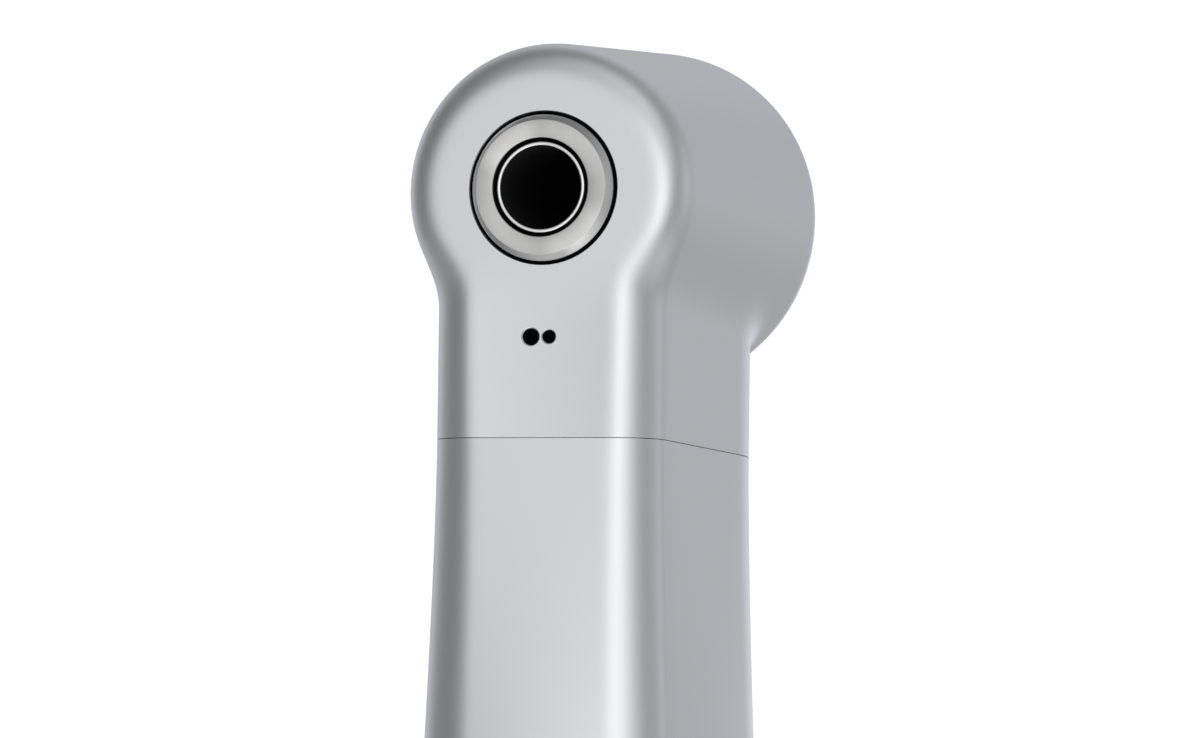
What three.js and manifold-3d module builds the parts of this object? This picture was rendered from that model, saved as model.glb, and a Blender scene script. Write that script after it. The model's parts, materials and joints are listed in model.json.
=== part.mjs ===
// A cordless endodontic motor with its contra-angle head, in millimetres, +Z up.
// It stands on its flat end cap: the origin is the middle of that face, and the chuck looks along -Y.
import * as THREE from "three";
import { mergeVertices } from "three/addons/utils/BufferGeometryUtils.js";
import Module from "manifold-3d";

const wasm = await Module();
wasm.setup();

// Shared clearances
const seatGap = 0.05; // between pieces that seat on each other
const runningGap = 0.05; // round anything that turns
const slideGap = 0.1; // round a button in its hole
const casingGap = 0.1; // between two casing pieces
const overrun = 1; // how far a cutter runs past what it cuts
const edgeRound = 0.6; // small rounding of moulded edges

// Facets of the round shapes
const roundSegments = 16;
const shellSegments = 32;
const smallSegments = 12;
const arcSteps = 3;
const shellArcSteps = 4;
const ballSegments = 6;
const ballRings = 4;
const oRingSegments = 6;
const wireSegments = 4;
const wireStepsPerTurn = 16;
const mergeDistance = 1e-4; // corners closer than this are one

// Chuck and its two ball bearings
const shankRadius = 1.175; // latch-type file shank, 2.35 mm across
const boreClearance = 0.015;
const boreChamfer = 0.03;
const noseWall = 0.09; // spindle wall inside the guard ring
const spindleWall = 0.31;
const noseStandOut = 0.25; // the spindle's nose in front of the head's face
const bearingRadius = 2.9;
const bearingWidth = 1.75;
const ballGap = 0.06; // between a ball and its groove
const ballShare = 0.27; // ball radius as a share of the bearing's radial room
const shoulderShare = 0.42; // how far the race shoulders stay from the ball centres, in ball radii
const cageShare = 0.3; // half the cage's thickness, in ball radii
const ballCount = 8;

// Guard ring round the chuck
const guardInnerGap = 0.13; // gap between the spindle's nose and the ring
const guardRingWidth = 0.68;
const guardOuterGap = 0.09; // gap between the ring and the housing
const guardStandOut = 0.3;
const guardBevel = 0.17;
const guardFlange = 0.4; // thickness of the flange behind the face

// Teeth of every gear
const toothShare = 0.4; // tooth thickness as a share of the pitch
const flankSlope = Math.tan(THREE.MathUtils.degToRad(20));
const chuckGearTeeth = 18;
const pinionTeeth = 9;
const chuckToothRoom = 0.25; // from the chuck gear's pitch circle to the housing's bore
const chuckToothTip = 0.18;
const chuckToothRoot = 0.26;
const chuckFaceWidth = 0.9;
const chuckGearRim = 0.22;
const pinionHub = 0.6;

// Head housing
const frontWall = 0.9;
const headWall = 1.29;
const headSpread = 0.84; // how much the cone's radius grows to the back
const headFrontRound = 0.98;
const headBackRound = 1.18;
const rearBearingOffset = 3; // from the neck shaft's axis to the rear bearing
const contactHoleDrop = 4.23; // below the chuck
const contactHoleDepth = 1.4;
const contactHoleX = [-0.33, 0.21];
const contactHoleRadius = [0.245, 0.195];

// Push button on the back of the head
const latchThickness = 0.5;
const latchRadius = 2;
const latchSlot = 0.7;
const chuckButtonTravel = 0.5;
const chuckButtonFlange = 0.6;
const chuckButtonSkirt = 0.3;
const chuckButtonRadius = 3.05;
const chuckButtonStandOut = 0.5;
const chuckButtonPocket = 0.85;
const chuckButtonBoss = 1.9;
const retainerThickness = 0.7;
const retainerWidth = 0.55;
const springWire = 0.28; // wire diameter
const springTurns = 2.5;

// Neck, in its own frame: origin at the bend, +Z to the head
const bendAngle = THREE.MathUtils.degToRad(16);
const neckLength = 34; // from the bend to the chuck's axis
const seamDrop = 7.09; // from the chuck's axis to the hairline seam
const seamGap = 0.04;
const neckChannelRoom = 0.6; // round the pinion
const tailWall = 0.6;
const tailLength = 3.4;
const sheathWall = 0.65;
const neckBack = 5.4; // from the shaft's axis to the neck's back at the seam
const neckFrontRound = 1.3;
const neckBackRound = 2.2;
const neckSideDraft = 0.06; // how fast the sides spread to the back
const neckFlare = 2; // how much wider the neck would be at the bend
const neckFlarePower = 1.6;
const bendRadius = 36;
const sheathFootLength = 1; // straight part under the bend
const bendRoundShare = 0.55; // how round the neck has become where the bend starts

// Shafts and bushes of the neck
const neckShaftRadius = 0.6;
const neckBushLength = 2;
const upperBushDrop = 3.6; // from the chuck's axis to the upper bush
const bendTeeth = 16;
const bendPitchRadius = 3;
const bendFaceWidth = 0.8;
const bendToothTip = 0.14;
const bendToothRoot = 0.2;
const bendGearRim = 0.9;
const bendCavityRoom = 0.6;
const driveShaftRadius = 1.25;
const driveBushWall = 1.2;
const driveBushLength = 2.6;

// Planetary reduction in the rear sleeve
const gearModule = 0.25;
const sunTeeth = 12;
const planetTeeth = 12;
const planetCount = 3;
const planetToothTip = 0.19;
const planetToothRoot = 0.27;
const planetaryWidth = 4;
const ringGearWall = 0.62;
const carrierThickness = 1.4;
const planetPinRadius = 0.55;
const stageGap = 0.3; // end gap between the parts of the stage

// Rear sleeve and the motor's coupling
const spigotRadius = 5;
const spigotWall = 2.6;
const spigotHeight = 12; // above the collar ring
const spigotFlange = 2;
const spigotFlangeWidth = 3.4;
const oRingThickness = 1;
const oRingSink = 0.98; // how deep its groove is
const oRingSpacing = 6;
const sleeveGap = 0.12;
const sleeveWall = 1.05; // round the ring gear
const sleeveFlare = 1.3; // how much the sleeve widens to its lower end
const sleeveGripGrooves = 3;
const sleeveGrooveDepth = 0.3;
const sleeveGrooveWidth = 0.9;
const sheathPlug = 2; // the part of the neck sheath that sits in the sleeve
const collarHeight = 6;
const collarSlope = 2.4;

// Motor
const motorRadius = 7.5;
const motorLength = 30;
const motorWall = 0.6;
const magnetThickness = 1.5;
const rotorRadius = 4.9;
const rotorShaftRadius = 1;
const tongueThickness = 0.66; // of the input shaft's tongue in the rotor's slotted end
const rotorSlots = 5;
const rotorSlotWidth = 0.9;
const rotorSlotDepth = 1.6;
const endBellThickness = 3;
const bulkheadThickness = 3;
const motorRoom = 11; // free length below the motor

// Battery
const batteryRadius = 9;
const batteryLength = 50;
const batteryShift = 1.6; // the cell sits behind the middle plane
const batteryRoom = 2.7; // from the cell to the casing's wall at the sides
const batteryBackRoom = 1.1;
const contactRoom = 2;
const contactPlate = 0.4;
const contactPlateRadius = 5;
const partitionHeight = 6;
const partitionDepth = 3.4;

// Casings
const casingWall = 1.8;
const topWall = 4.2;
const casingCorner = 6.5; // corners beside the display
const casingBackCorner = 9.5;
const casingFootTaper = 0.7; // how much narrower the lower end is
const footTaperHeight = 22;
const endCapHeight = 8;
const endCapRound = 1.6;
const endCapLip = 4;
const endCapWall = 2;
const coverSideRoom = 0.2; // the opening's half-width beyond the cell's radius
const coverCorner = 3;
const coverMargin = 4; // from the end cap to the battery cover
const screwRadius = 0.95;
const screwLength = 4;
const screwHeadRadius = 1.9;
const screwHeadHeight = 1.2;
const screwSlotWidth = 0.5;
const screwSlotDepth = 0.6;
const screwSlotLength = 2.6;
const chargePadRadius = 1.5;
const chargePadSpacing = 8;
const chargePadLength = 2.4;

// Circuit board, display and keys
const boardRoom = 1.1; // from the motor to the board
const boardThickness = 1.2;
const boardHalfWidth = 8.5;
const boardMargin = 8;
const chipHeight = 0.7;
const chipWidth = 7;
const chipPitch = 14;
const chipCount = 4;
const displayThickness = 2.8;
const displayRoom = 0.5; // between the display and the casing's inner face
const windowHalfWidth = 6.6;
const windowLength = 32;
const windowThickness = 1.1;
const windowLedge = 1.2;
const windowCorner = 2;
const keyRadius = 2.4;
const keySideways = 4.2; // from the middle to the minus and plus keys
const keySpacing = 10;
const keyTravel = 0.4;
const keyFlange = 0.8;
const keyFlangeWidth = 0.5;
const keyStandOut = 0.5;
const keyMargin = 28; // from the end cap to the lowest keys
const startRadius = 5;
const startTravel = 0.6;
const startStandOut = 0.8;
const startMargin = 12; // from the window to the start button
const domeHeight = 0.6;
const domeRadius = 2;
const domeSheetThickness = 0.25;
const switchHalfWidth = 3;
const switchHeight = 1.2;
const switchPlungerRadius = 1.4;
const switchPlungerHeight = 0.4;
const stemRadius = 1.2;

// Round shapes worked out from the sizes above
const boreRadius = shankRadius + boreClearance;
const noseRadius = boreRadius + noseWall;
const spindleRadius = boreRadius + spindleWall;
const guardInner = noseRadius + guardInnerGap;
const guardOuter = guardInner + guardRingWidth;
const faceOpening = guardOuter + guardOuterGap;
const raceBore = spindleRadius + seatGap;
const ballCircle = (raceBore + bearingRadius) / 2;
const ballRadius = (bearingRadius - raceBore) * ballShare;
const headBore = bearingRadius + seatGap;
const headFrontRadius = headBore + headWall;
const headBackRadius = headFrontRadius + headSpread;

// The chuck's bevel gears share an apex, where the two shaft axes meet
const chuckGearPitch = headBore - chuckToothRoom;
const pinionPitch = (chuckGearPitch * pinionTeeth) / chuckGearTeeth;
const pinionAngle = Math.atan(pinionTeeth / chuckGearTeeth);
const chuckGearAngle = Math.PI / 2 - pinionAngle;
const chuckConeLength = Math.hypot(chuckGearPitch, pinionPitch);
const chuckGearBack =
  chuckConeLength * Math.cos(chuckGearAngle - chuckToothRoot / chuckConeLength) + chuckGearRim;
const pinionTipRadius =
  chuckConeLength * Math.sin(pinionAngle + chuckToothTip / chuckConeLength);

// Depths in the head, from its face
const guardFlangeFront = frontWall + seatGap;
const frontBearingFront = guardFlangeFront + guardFlange + seatGap;
const frontBearingBack = frontBearingFront + bearingWidth;
const shaftDepth = frontBearingBack + runningGap + chuckGearBack;
const rearBearingFront = shaftDepth + rearBearingOffset;
const rearBearingBack = rearBearingFront + bearingWidth;
const latchFront = rearBearingBack + seatGap;
const latchBack = latchFront + latchThickness;
const chuckButtonFront = latchBack + chuckButtonTravel + seatGap;
const retainerFront = chuckButtonFront + chuckButtonFlange + seatGap;
const headDepth = retainerFront + retainerThickness;
const chuckButtonFlangeRadius = chuckButtonRadius + chuckButtonSkirt;
const buttonBore = chuckButtonFlangeRadius + slideGap;
const retainerInner = chuckButtonRadius + slideGap;
const retainerOuter = retainerInner + retainerWidth;

// Neck
const channelRadius = pinionTipRadius + neckChannelRoom;
const tailRadius = channelRadius + tailWall;
const neckHalfWidth = tailRadius + seatGap + sheathWall;
const seamHeight = neckLength - seamDrop;
const neckBushRadius = channelRadius - seatGap;
const neckShaftBore = neckShaftRadius + runningGap;
const bendHalf = bendAngle / 2;
const bendGearAngle = Math.PI / 2 - bendHalf;
const bendConeLength = bendPitchRadius / Math.sin(bendGearAngle);
const bendReach = bendRadius * Math.tan(bendHalf);
const bendGearBack =
  bendConeLength * Math.cos(bendGearAngle - bendToothRoot / bendConeLength) + bendGearRim;
const bendCavityRadius = bendPitchRadius + bendCavityRoom;
const driveBushRadius = driveShaftRadius + runningGap + driveBushWall;

// Planetary stage
const ringTeeth = sunTeeth + 2 * planetTeeth;
const sunPitch = (gearModule * sunTeeth) / 2;
const planetPitch = (gearModule * planetTeeth) / 2;
const ringPitch = (gearModule * ringTeeth) / 2;
const planetOrbit = sunPitch + planetPitch;
const ringGearRadius = ringPitch + planetToothRoot + ringGearWall;
const stageBore = Math.max(ringGearRadius, spigotRadius + sleeveGap) + seatGap;
const sleeveTopRadius = stageBore + sleeveWall;
const sleeveLowRadius = sleeveTopRadius + sleeveFlare;
const collarRadius = sleeveLowRadius + collarSlope;

// Depths across the handle, from the motor's axis
const cellBack = -(batteryShift + batteryRadius);
const cellFront = batteryRadius - batteryShift;
const backInner = cellBack - batteryBackRoom;
const backOuter = backInner - casingWall;
const boardBack = Math.max(motorRadius, cellFront) + boardRoom;
const boardFront = boardBack + boardThickness;
const displayBack = boardFront + seatGap;
const displayFront = displayBack + displayThickness;
const frontInner = displayFront + displayRoom;
const frontOuter = frontInner + casingWall;
const casingHalfWidth = Math.max(batteryRadius, motorRadius) + batteryRoom + casingWall;

// Heights in the handle
const batteryFoot = endCapHeight + endCapLip + contactRoom;
const batteryTop = batteryFoot + batteryLength;
const partitionFoot = batteryTop + contactRoom + stageGap;
const partitionTop = partitionFoot + partitionHeight;
const motorFoot = partitionTop + motorRoom;
const motorTop = motorFoot + motorLength;
const bulkheadFoot = motorTop + seatGap;
const bulkheadTop = bulkheadFoot + bulkheadThickness;
const flangeFoot = bulkheadTop + seatGap;
const flangeTop = flangeFoot + spigotFlange;
const cavityTop = flangeTop + stageGap;
const handleTop = cavityTop + topWall;
const collarFoot = handleTop + casingGap;
const collarTop = collarFoot + collarHeight;
const sleeveFoot = collarTop + casingGap;
const spigotTop = sleeveFoot + spigotHeight;
const stageFoot = spigotTop + stageGap;
const stageTop = stageFoot + planetaryWidth;
const carrierTop = stageTop + stageGap + carrierThickness;
const plugFoot = carrierTop + stageGap;
const sleeveTop = plugFoot + sheathPlug;
const sheathFoot = sleeveTop + seatGap;
const bendHeight = sheathFoot + sheathFootLength + bendReach;
const cavityFoot = bendHeight - bendGearBack - stageGap;
const keyHeight = endCapHeight + keyMargin;
const setKeyHeight = keyHeight + keySpacing;
const windowFoot = setKeyHeight + keySpacing;
const windowTop = windowFoot + windowLength;
const startHeight = windowTop + startMargin;
const boardFoot = endCapHeight + endCapLip + boardMargin;
const boardTop = startHeight + startRadius + edgeRound;
const shoulderHeight = Math.min(boardTop + edgeRound, cavityTop - stageGap);
const coverFoot = endCapHeight + coverMargin;
const coverTop = partitionTop + seatGap;
const screwHeight = (partitionFoot + partitionTop) / 2;

// Materials
const finish = (color, roughness, metalness) =>
  new THREE.MeshStandardMaterial({ color, roughness, metalness });
const satinSilver = finish(0xc4c5c9, 0.42, 0.75);
const nickel = finish(0xb5b2ad, 0.3, 1);
const steel = finish(0xa9abae, 0.35, 1);
const brass = finish(0xb08d4a, 0.4, 1);
const copper = finish(0xa2623a, 0.45, 1);
const whitePlastic = finish(0xe9eaec, 0.45, 0);
const greyPlastic = finish(0x8b8f95, 0.5, 0);
const blackPlastic = finish(0x1b1c1f, 0.5, 0);
const darkGlass = finish(0x10141a, 0.1, 0);
const blackRubber = finish(0x222222, 0.85, 0);
const boardGreen = finish(0x1f5a38, 0.6, 0);
const magnetBlack = finish(0x2e2f33, 0.7, 0.2);
const cellBlue = finish(0x3a6ea5, 0.5, 0);

// One closed surface with shared corners and its faces turned outwards
function closed(source) {
  const plain = new THREE.BufferGeometry().setAttribute("position", source.getAttribute("position"));
  plain.setIndex(source.index);
  const merged = mergeVertices(plain, mergeDistance);
  const place = merged.getAttribute("position");
  const [a, b, c] = [new THREE.Vector3(), new THREE.Vector3(), new THREE.Vector3()];
  const faces = [];
  let volume = 0;
  for (let i = 0; i < merged.index.count; i += 3) {
    const face = [0, 1, 2].map((k) => merged.index.getX(i + k));
    if (new Set(face).size < 3) continue;
    a.fromBufferAttribute(place, face[0]);
    b.fromBufferAttribute(place, face[1]);
    c.fromBufferAttribute(place, face[2]);
    volume += a.dot(b.cross(c));
    faces.push(face);
  }
  if (volume < 0) faces.forEach((face) => face.reverse());
  merged.setIndex(faces.flat());
  return merged;
}

function solid(source) {
  const geometry = closed(source);
  const mesh = new wasm.Mesh({
    numProp: 3,
    vertProperties: new Float32Array(geometry.getAttribute("position").array),
    triVerts: new Uint32Array(geometry.index.array),
  });
  return new wasm.Manifold(mesh);
}

function geometryOf(body) {
  const mesh = body.getMesh();
  const geometry = new THREE.BufferGeometry();
  geometry.setAttribute("position", new THREE.BufferAttribute(new Float32Array(mesh.vertProperties), 3));
  geometry.setIndex(new THREE.BufferAttribute(new Uint32Array(mesh.triVerts), 1));
  return geometry;
}

const join = (first, ...others) =>
  geometryOf(others.reduce((body, other) => body.add(solid(other)), solid(first)));
const cut = (first, ...tools) =>
  geometryOf(tools.reduce((body, tool) => body.subtract(solid(tool)), solid(first)));
const common = (first, second) => geometryOf(solid(first).intersect(solid(second)));

// Corners [x, y, radius] become outline points, with an arc wherever a radius is given
function rounded(corners, steps = arcSteps) {
  const at = (i) => new THREE.Vector2(...corners[(i + corners.length) % corners.length].slice(0, 2));
  return corners.flatMap(([, , radius = 0], i) => {
    const corner = at(i);
    if (!radius) return [corner];
    const before = at(i - 1).sub(corner).normalize();
    const after = at(i + 1).sub(corner).normalize();
    const half = Math.acos(before.dot(after)) / 2;
    const centre = before.clone().add(after).setLength(radius / Math.sin(half)).add(corner);
    const start = before.setLength(radius / Math.tan(half)).add(corner).sub(centre);
    const end = after.setLength(radius / Math.tan(half)).add(corner).sub(centre);
    const turn = Math.atan2(start.cross(end), start.dot(end));
    return Array.from({ length: steps + 1 }, (_, k) =>
      start.clone().rotateAround(new THREE.Vector2(), (turn * k) / steps).add(centre),
    );
  });
}

// A turned shape about +Y from [radius, y] corners, and the same about +Z
const turnedY = (corners, segments = roundSegments) =>
  closed(new THREE.LatheGeometry(rounded(corners), segments));
const turned = (corners, segments = roundSegments) => turnedY(corners, segments).rotateX(Math.PI / 2);

// A ring or tube: its profile closes on itself
const ringCorners = (inner, outer, low, high) => [
  [inner, low],
  [outer, low],
  [outer, high],
  [inner, high],
  [inner, low],
];
const diskCorners = (radius, low, high, edge = 0) => [
  [0, low],
  [radius, low, edge],
  [radius, high, edge],
  [0, high],
];

// A skin over rings of equal length: closed round on itself, or with flat ends
function skin(rings, isLoop = false) {
  const count = rings[0].length;
  const points = rings.flat();
  const faces = [];
  const last = isLoop ? rings.length : rings.length - 1;
  for (let i = 0; i < last; i += 1)
    for (let j = 0; j < count; j += 1) {
      const [p, q] = [i * count + j, i * count + ((j + 1) % count)];
      const above = (((i + 1) % rings.length) - i) * count;
      faces.push(p, q, q + above, p, q + above, p + above);
    }
  if (!isLoop)
    for (const first of [0, (rings.length - 1) * count]) {
      const middle = new THREE.Vector3();
      for (let j = 0; j < count; j += 1) middle.add(points[first + j]);
      points.push(middle.divideScalar(count));
      for (let j = 0; j < count; j += 1) {
        const edge = [first + j, first + ((j + 1) % count)];
        faces.push(points.length - 1, ...(first ? edge : edge.reverse()));
      }
    }
  const geometry = new THREE.BufferGeometry().setFromPoints(points);
  return closed(geometry.setIndex(faces));
}

// A plate with rounded corners in the XZ plane, from y = back to y = front
function plate(halfWidth, low, high, corner, back, front) {
  const outline = rounded([
    [-halfWidth, low, corner],
    [halfWidth, low, corner],
    [halfWidth, high, corner],
    [-halfWidth, high, corner],
  ]);
  const shape = new THREE.Shape(outline);
  const slab = new THREE.ExtrudeGeometry(shape, { depth: front - back, bevelEnabled: false });
  return slab.rotateX(Math.PI / 2).translate(0, front, 0);
}

const box = (x, y, z, width, depth, height) =>
  new THREE.BoxGeometry(width, depth, height).translate(x, y, z);

// Teeth

// Corner angles of evenly spaced teeth; each corner says whether it lies on the tooth's tip
function toothCorners(teeth, pitchRadius, root, tip, phase) {
  const halfPitch = (toothShare * Math.PI * pitchRadius) / teeth;
  const rootHalf = (halfPitch + root.height * flankSlope) / root.radius;
  const tipHalf = (halfPitch - tip.height * flankSlope) / tip.radius;
  return Array.from({ length: teeth }, (_, i) => {
    const middle = phase + (2 * Math.PI * i) / teeth;
    return [
      { angle: middle - rootHalf, isTip: false },
      { angle: middle - tipHalf, isTip: true },
      { angle: middle + tipHalf, isTip: true },
      { angle: middle + rootHalf, isTip: false },
    ];
  }).flat();
}

const around = (angle, profile) =>
  profile.map(([r, h]) => new THREE.Vector3(r * Math.cos(angle), r * Math.sin(angle), h));

// An external spur gear of the planetary stage, standing on z = 0
function spurGear(teeth, bore, phase) {
  const pitch = (gearModule * teeth) / 2;
  const root = { radius: pitch - planetToothRoot, height: planetToothRoot };
  const tip = { radius: pitch + planetToothTip, height: planetToothTip };
  const corners = toothCorners(teeth, pitch, root, tip, phase);
  return skin(
    corners.map(({ angle, isTip }) => {
      const rim = isTip ? tip.radius : root.radius;
      return around(angle, [[bore, 0], [rim, 0], [rim, planetaryWidth], [bore, planetaryWidth]]);
    }),
    true,
  );
}

function internalGear(phase) {
  const root = { radius: ringPitch + planetToothRoot, height: planetToothRoot };
  const tip = { radius: ringPitch - planetToothTip, height: planetToothTip };
  const corners = toothCorners(ringTeeth, ringPitch, root, tip, phase);
  return skin(
    corners.map(({ angle, isTip }) => {
      const rim = isTip ? tip.radius : root.radius;
      const wall = ringGearRadius;
      return around(angle, [[rim, 0], [wall, 0], [wall, planetaryWidth], [rim, planetaryWidth]]);
    }),
    true,
  );
}

// A bevel gear about +Z whose pitch cone has its apex at the origin
function bevelGear({ teeth, angle, length, width, tipHeight, rootHeight, bore, back, phase }) {
  const tipAngle = angle + tipHeight / length;
  const rootAngle = angle - rootHeight / length;
  const root = { radius: length * Math.sin(rootAngle), height: rootHeight };
  const tip = { radius: length * Math.sin(tipAngle), height: tipHeight };
  const corners = toothCorners(teeth, length * Math.sin(angle), root, tip, phase);
  const inner = length - width;
  return skin(
    corners.map((corner) => {
      const ray = corner.isTip ? tipAngle : rootAngle;
      return around(corner.angle, [
        [bore, back],
        [root.radius, back],
        [length * Math.sin(ray), length * Math.cos(ray)],
        [inner * Math.sin(ray), inner * Math.cos(ray)],
        [bore, inner * Math.cos(rootAngle)],
      ]);
    }),
    true,
  );
}

// Chuck and bearings, turned about the head's +Y

const ballAngles = Array.from({ length: ballCount }, (_, i) => (2 * Math.PI * i) / ballCount);

// The groove's arc in a race, from one shoulder to the other
function grooveCorners(middle, side) {
  const groove = ballRadius + ballGap;
  const shoulder = ballRadius * shoulderShare;
  const half = Math.acos(shoulder / groove);
  return Array.from({ length: arcSteps + 1 }, (_, k) => {
    const turn = half * ((2 * k) / arcSteps - 1);
    return [ballCircle + side * groove * Math.cos(turn), middle + groove * Math.sin(turn)];
  });
}

function race(front, side) {
  const wall = side < 0 ? raceBore : bearingRadius;
  const shoulder = ballCircle + side * ballRadius * shoulderShare;
  const back = front + bearingWidth;
  return turnedY([
    [wall, front],
    [shoulder, front],
    ...grooveCorners((front + back) / 2, side),
    [shoulder, back],
    [wall, back],
    [wall, front],
  ]);
}

function ballCage(front) {
  const middle = front + bearingWidth / 2;
  const half = ballRadius * cageShare;
  const ring = ringCorners(ballCircle - half, ballCircle + half, middle - half, middle + half);
  const balls = ballAngles.map((angle) =>
    new THREE.SphereGeometry(ballRadius, ballSegments, ballRings).translate(
      ballCircle * Math.cos(angle),
      middle,
      ballCircle * Math.sin(angle),
    ),
  );
  return join(turnedY(ring), ...balls);
}

function chuckSpindle() {
  const step = guardFlangeFront + guardFlange + seatGap;
  return turnedY(
    [
      [boreRadius + boreChamfer, -noseStandOut],
      [noseRadius, -noseStandOut],
      [noseRadius, step],
      [spindleRadius, step],
      [spindleRadius, rearBearingBack],
      [boreRadius, rearBearingBack],
      [boreRadius, -noseStandOut + boreChamfer],
      [boreRadius + boreChamfer, -noseStandOut],
    ],
    shellSegments,
  );
}

function guardRing() {
  const flangeBack = guardFlangeFront + guardFlange;
  return turnedY(
    [
      [guardInner, -guardStandOut],
      [guardOuter - guardBevel, -guardStandOut],
      [guardOuter, guardBevel - guardStandOut],
      [guardOuter, guardFlangeFront],
      [bearingRadius, guardFlangeFront],
      [bearingRadius, flangeBack],
      [guardInner, flangeBack],
      [guardInner, -guardStandOut],
    ],
    shellSegments,
  );
}

const chuckTeeth = { length: chuckConeLength, width: chuckFaceWidth, tipHeight: chuckToothTip };

const chuckGear = () =>
  bevelGear({
    ...chuckTeeth,
    teeth: chuckGearTeeth,
    angle: chuckGearAngle,
    rootHeight: chuckToothRoot,
    bore: raceBore,
    back: chuckGearBack,
    phase: -Math.PI / 2,
  });

const neckPinion = () =>
  bevelGear({
    ...chuckTeeth,
    teeth: pinionTeeth,
    angle: pinionAngle,
    rootHeight: chuckToothRoot,
    bore: neckShaftRadius + seatGap,
    back: chuckConeLength * Math.cos(pinionAngle) + pinionHub,
    phase: Math.PI / 2 + Math.PI / pinionTeeth,
  });

// The latch is a slotted plate at the end of the spindle
function chuckLatch() {
  const disk = turnedY(ringCorners(boreRadius, latchRadius, latchFront, latchBack));
  const middle = (latchFront + latchBack) / 2;
  const length = 2 * (latchRadius - boreRadius);
  return cut(disk, box(0, middle, latchRadius, latchSlot, latchThickness + overrun, length));
}

// Push button, its spring and the ring that keeps it in

function chuckButton() {
  const back = headDepth + chuckButtonStandOut;
  const skirt = retainerFront - seatGap;
  const pocket = chuckButtonFront + chuckButtonPocket;
  return turnedY(
    [
      [0, chuckButtonFront],
      [chuckButtonBoss, chuckButtonFront],
      [chuckButtonBoss, pocket],
      [chuckButtonRadius - chuckButtonSkirt, pocket],
      [chuckButtonRadius - chuckButtonSkirt, chuckButtonFront],
      [chuckButtonFlangeRadius, chuckButtonFront],
      [chuckButtonFlangeRadius, skirt],
      [chuckButtonRadius, skirt],
      [chuckButtonRadius, back, chuckButtonSkirt],
      [0, back],
    ],
    shellSegments,
  );
}

// One open wire: a tube along a helix about +Y
class SpringLine extends THREE.Curve {
  constructor(radius, low, high) {
    super();
    Object.assign(this, { radius, low, high });
  }
  getPoint(t, target = new THREE.Vector3()) {
    const angle = 2 * Math.PI * springTurns * t;
    const y = THREE.MathUtils.lerp(this.low, this.high, t);
    return target.set(this.radius * Math.cos(angle), y, this.radius * Math.sin(angle));
  }
}

function buttonSpring() {
  const wire = springWire / 2;
  const radius = (chuckButtonBoss + chuckButtonRadius - chuckButtonSkirt) / 2;
  const low = rearBearingBack + seatGap + springWire;
  const high = chuckButtonFront + chuckButtonPocket - seatGap - springWire;
  const section = new THREE.Shape().absarc(0, 0, wire, 0, 2 * Math.PI);
  return new THREE.ExtrudeGeometry(section, {
    steps: Math.round(springTurns * wireStepsPerTurn),
    curveSegments: wireSegments,
    extrudePath: new SpringLine(radius, low, high),
  });
}

const buttonRetainer = () =>
  turnedY(ringCorners(retainerInner, retainerOuter - seatGap, retainerFront, headDepth), shellSegments);

// Head housing: a cone with a flat face, its neck stub, and the tail that sits in the neck sheath

const stubDropShares = [0.3, 0.52, 0.62, 0.73, 0.85, 1]; // of the cone's front radius
const stubWideningShares = [0.2, 0.2, 0.11, 0.04, 0.01, 0]; // of the cone's front rounding

// The neck's half-width at a height in the neck's frame, flaring down to the bend
function neckWidthAt(height) {
  const drop = THREE.MathUtils.clamp((seamHeight - height) / seamHeight, 0, 1);
  return neckHalfWidth + neckFlare * drop ** neckFlarePower;
}

// One flat ring of the neck: a rounded box whose sides spread to the back
function neckSection({ halfWidth, front, back, frontRound, backRound, draft, height }) {
  const spread = draft * (back - front);
  const corners = [
    [-halfWidth, front, frontRound],
    [halfWidth, front, frontRound],
    [halfWidth + spread, back, backRound],
    [-halfWidth - spread, back, backRound],
  ];
  return rounded(corners, shellArcSteps).map(({ x, y }) => new THREE.Vector3(x, y, height));
}

function headHousing() {
  const spreadPerDepth = headSpread / (headDepth - headFrontRound - headBackRound);
  const cone = turnedY(
    [
      [0, 0],
      [headFrontRadius - spreadPerDepth * headFrontRound, 0, headFrontRound],
      [headBackRadius + spreadPerDepth * headBackRound, headDepth, headBackRound],
      [0, headDepth],
    ],
    shellSegments,
  );
  // The stub widens where it runs into the cone, so the outline has no sharp inner corner.
  const seam = seamGap / 2 - seamDrop;
  const stubRing = (widening, roundShare, height) =>
    neckSection({
      halfWidth: neckHalfWidth + widening * headFrontRound,
      front: 0,
      back: shaftDepth + neckBack,
      frontRound: THREE.MathUtils.lerp(headFrontRound, neckFrontRound, roundShare),
      backRound: neckBackRound,
      draft: neckSideDraft,
      height,
    });
  const rings = stubDropShares.map((share, i) =>
    stubRing(stubWideningShares[i], i / stubDropShares.length, -share * headFrontRadius),
  );
  const stub = skin([...rings, stubRing(0, 1, seam)]);
  const tail = turned(diskCorners(tailRadius, seam - tailLength, seam + overrun));
  const channel = turned(diskCorners(channelRadius, seam - tailLength - overrun, -bearingRadius / 2));
  const steps = turnedY(
    [
      [0, -overrun],
      [faceOpening, -overrun],
      [faceOpening, frontWall],
      [headBore, frontWall],
      [headBore, rearBearingBack + seatGap],
      [buttonBore, rearBearingBack + seatGap],
      [buttonBore, retainerFront],
      [retainerOuter, retainerFront],
      [retainerOuter, headDepth + overrun],
      [0, headDepth + overrun],
    ],
    shellSegments,
  );
  const holes = contactHoleX.map((x, i) =>
    turnedY(diskCorners(contactHoleRadius[i], -overrun, contactHoleDepth), smallSegments).translate(
      x,
      0,
      -contactHoleDrop,
    ),
  );
  const body = join(cone, stub, tail.translate(0, shaftDepth, 0));
  return cut(body, steps, channel.translate(0, shaftDepth, 0), ...holes);
}

// Neck sheath: from the seam down round the bend to the rear sleeve

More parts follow.
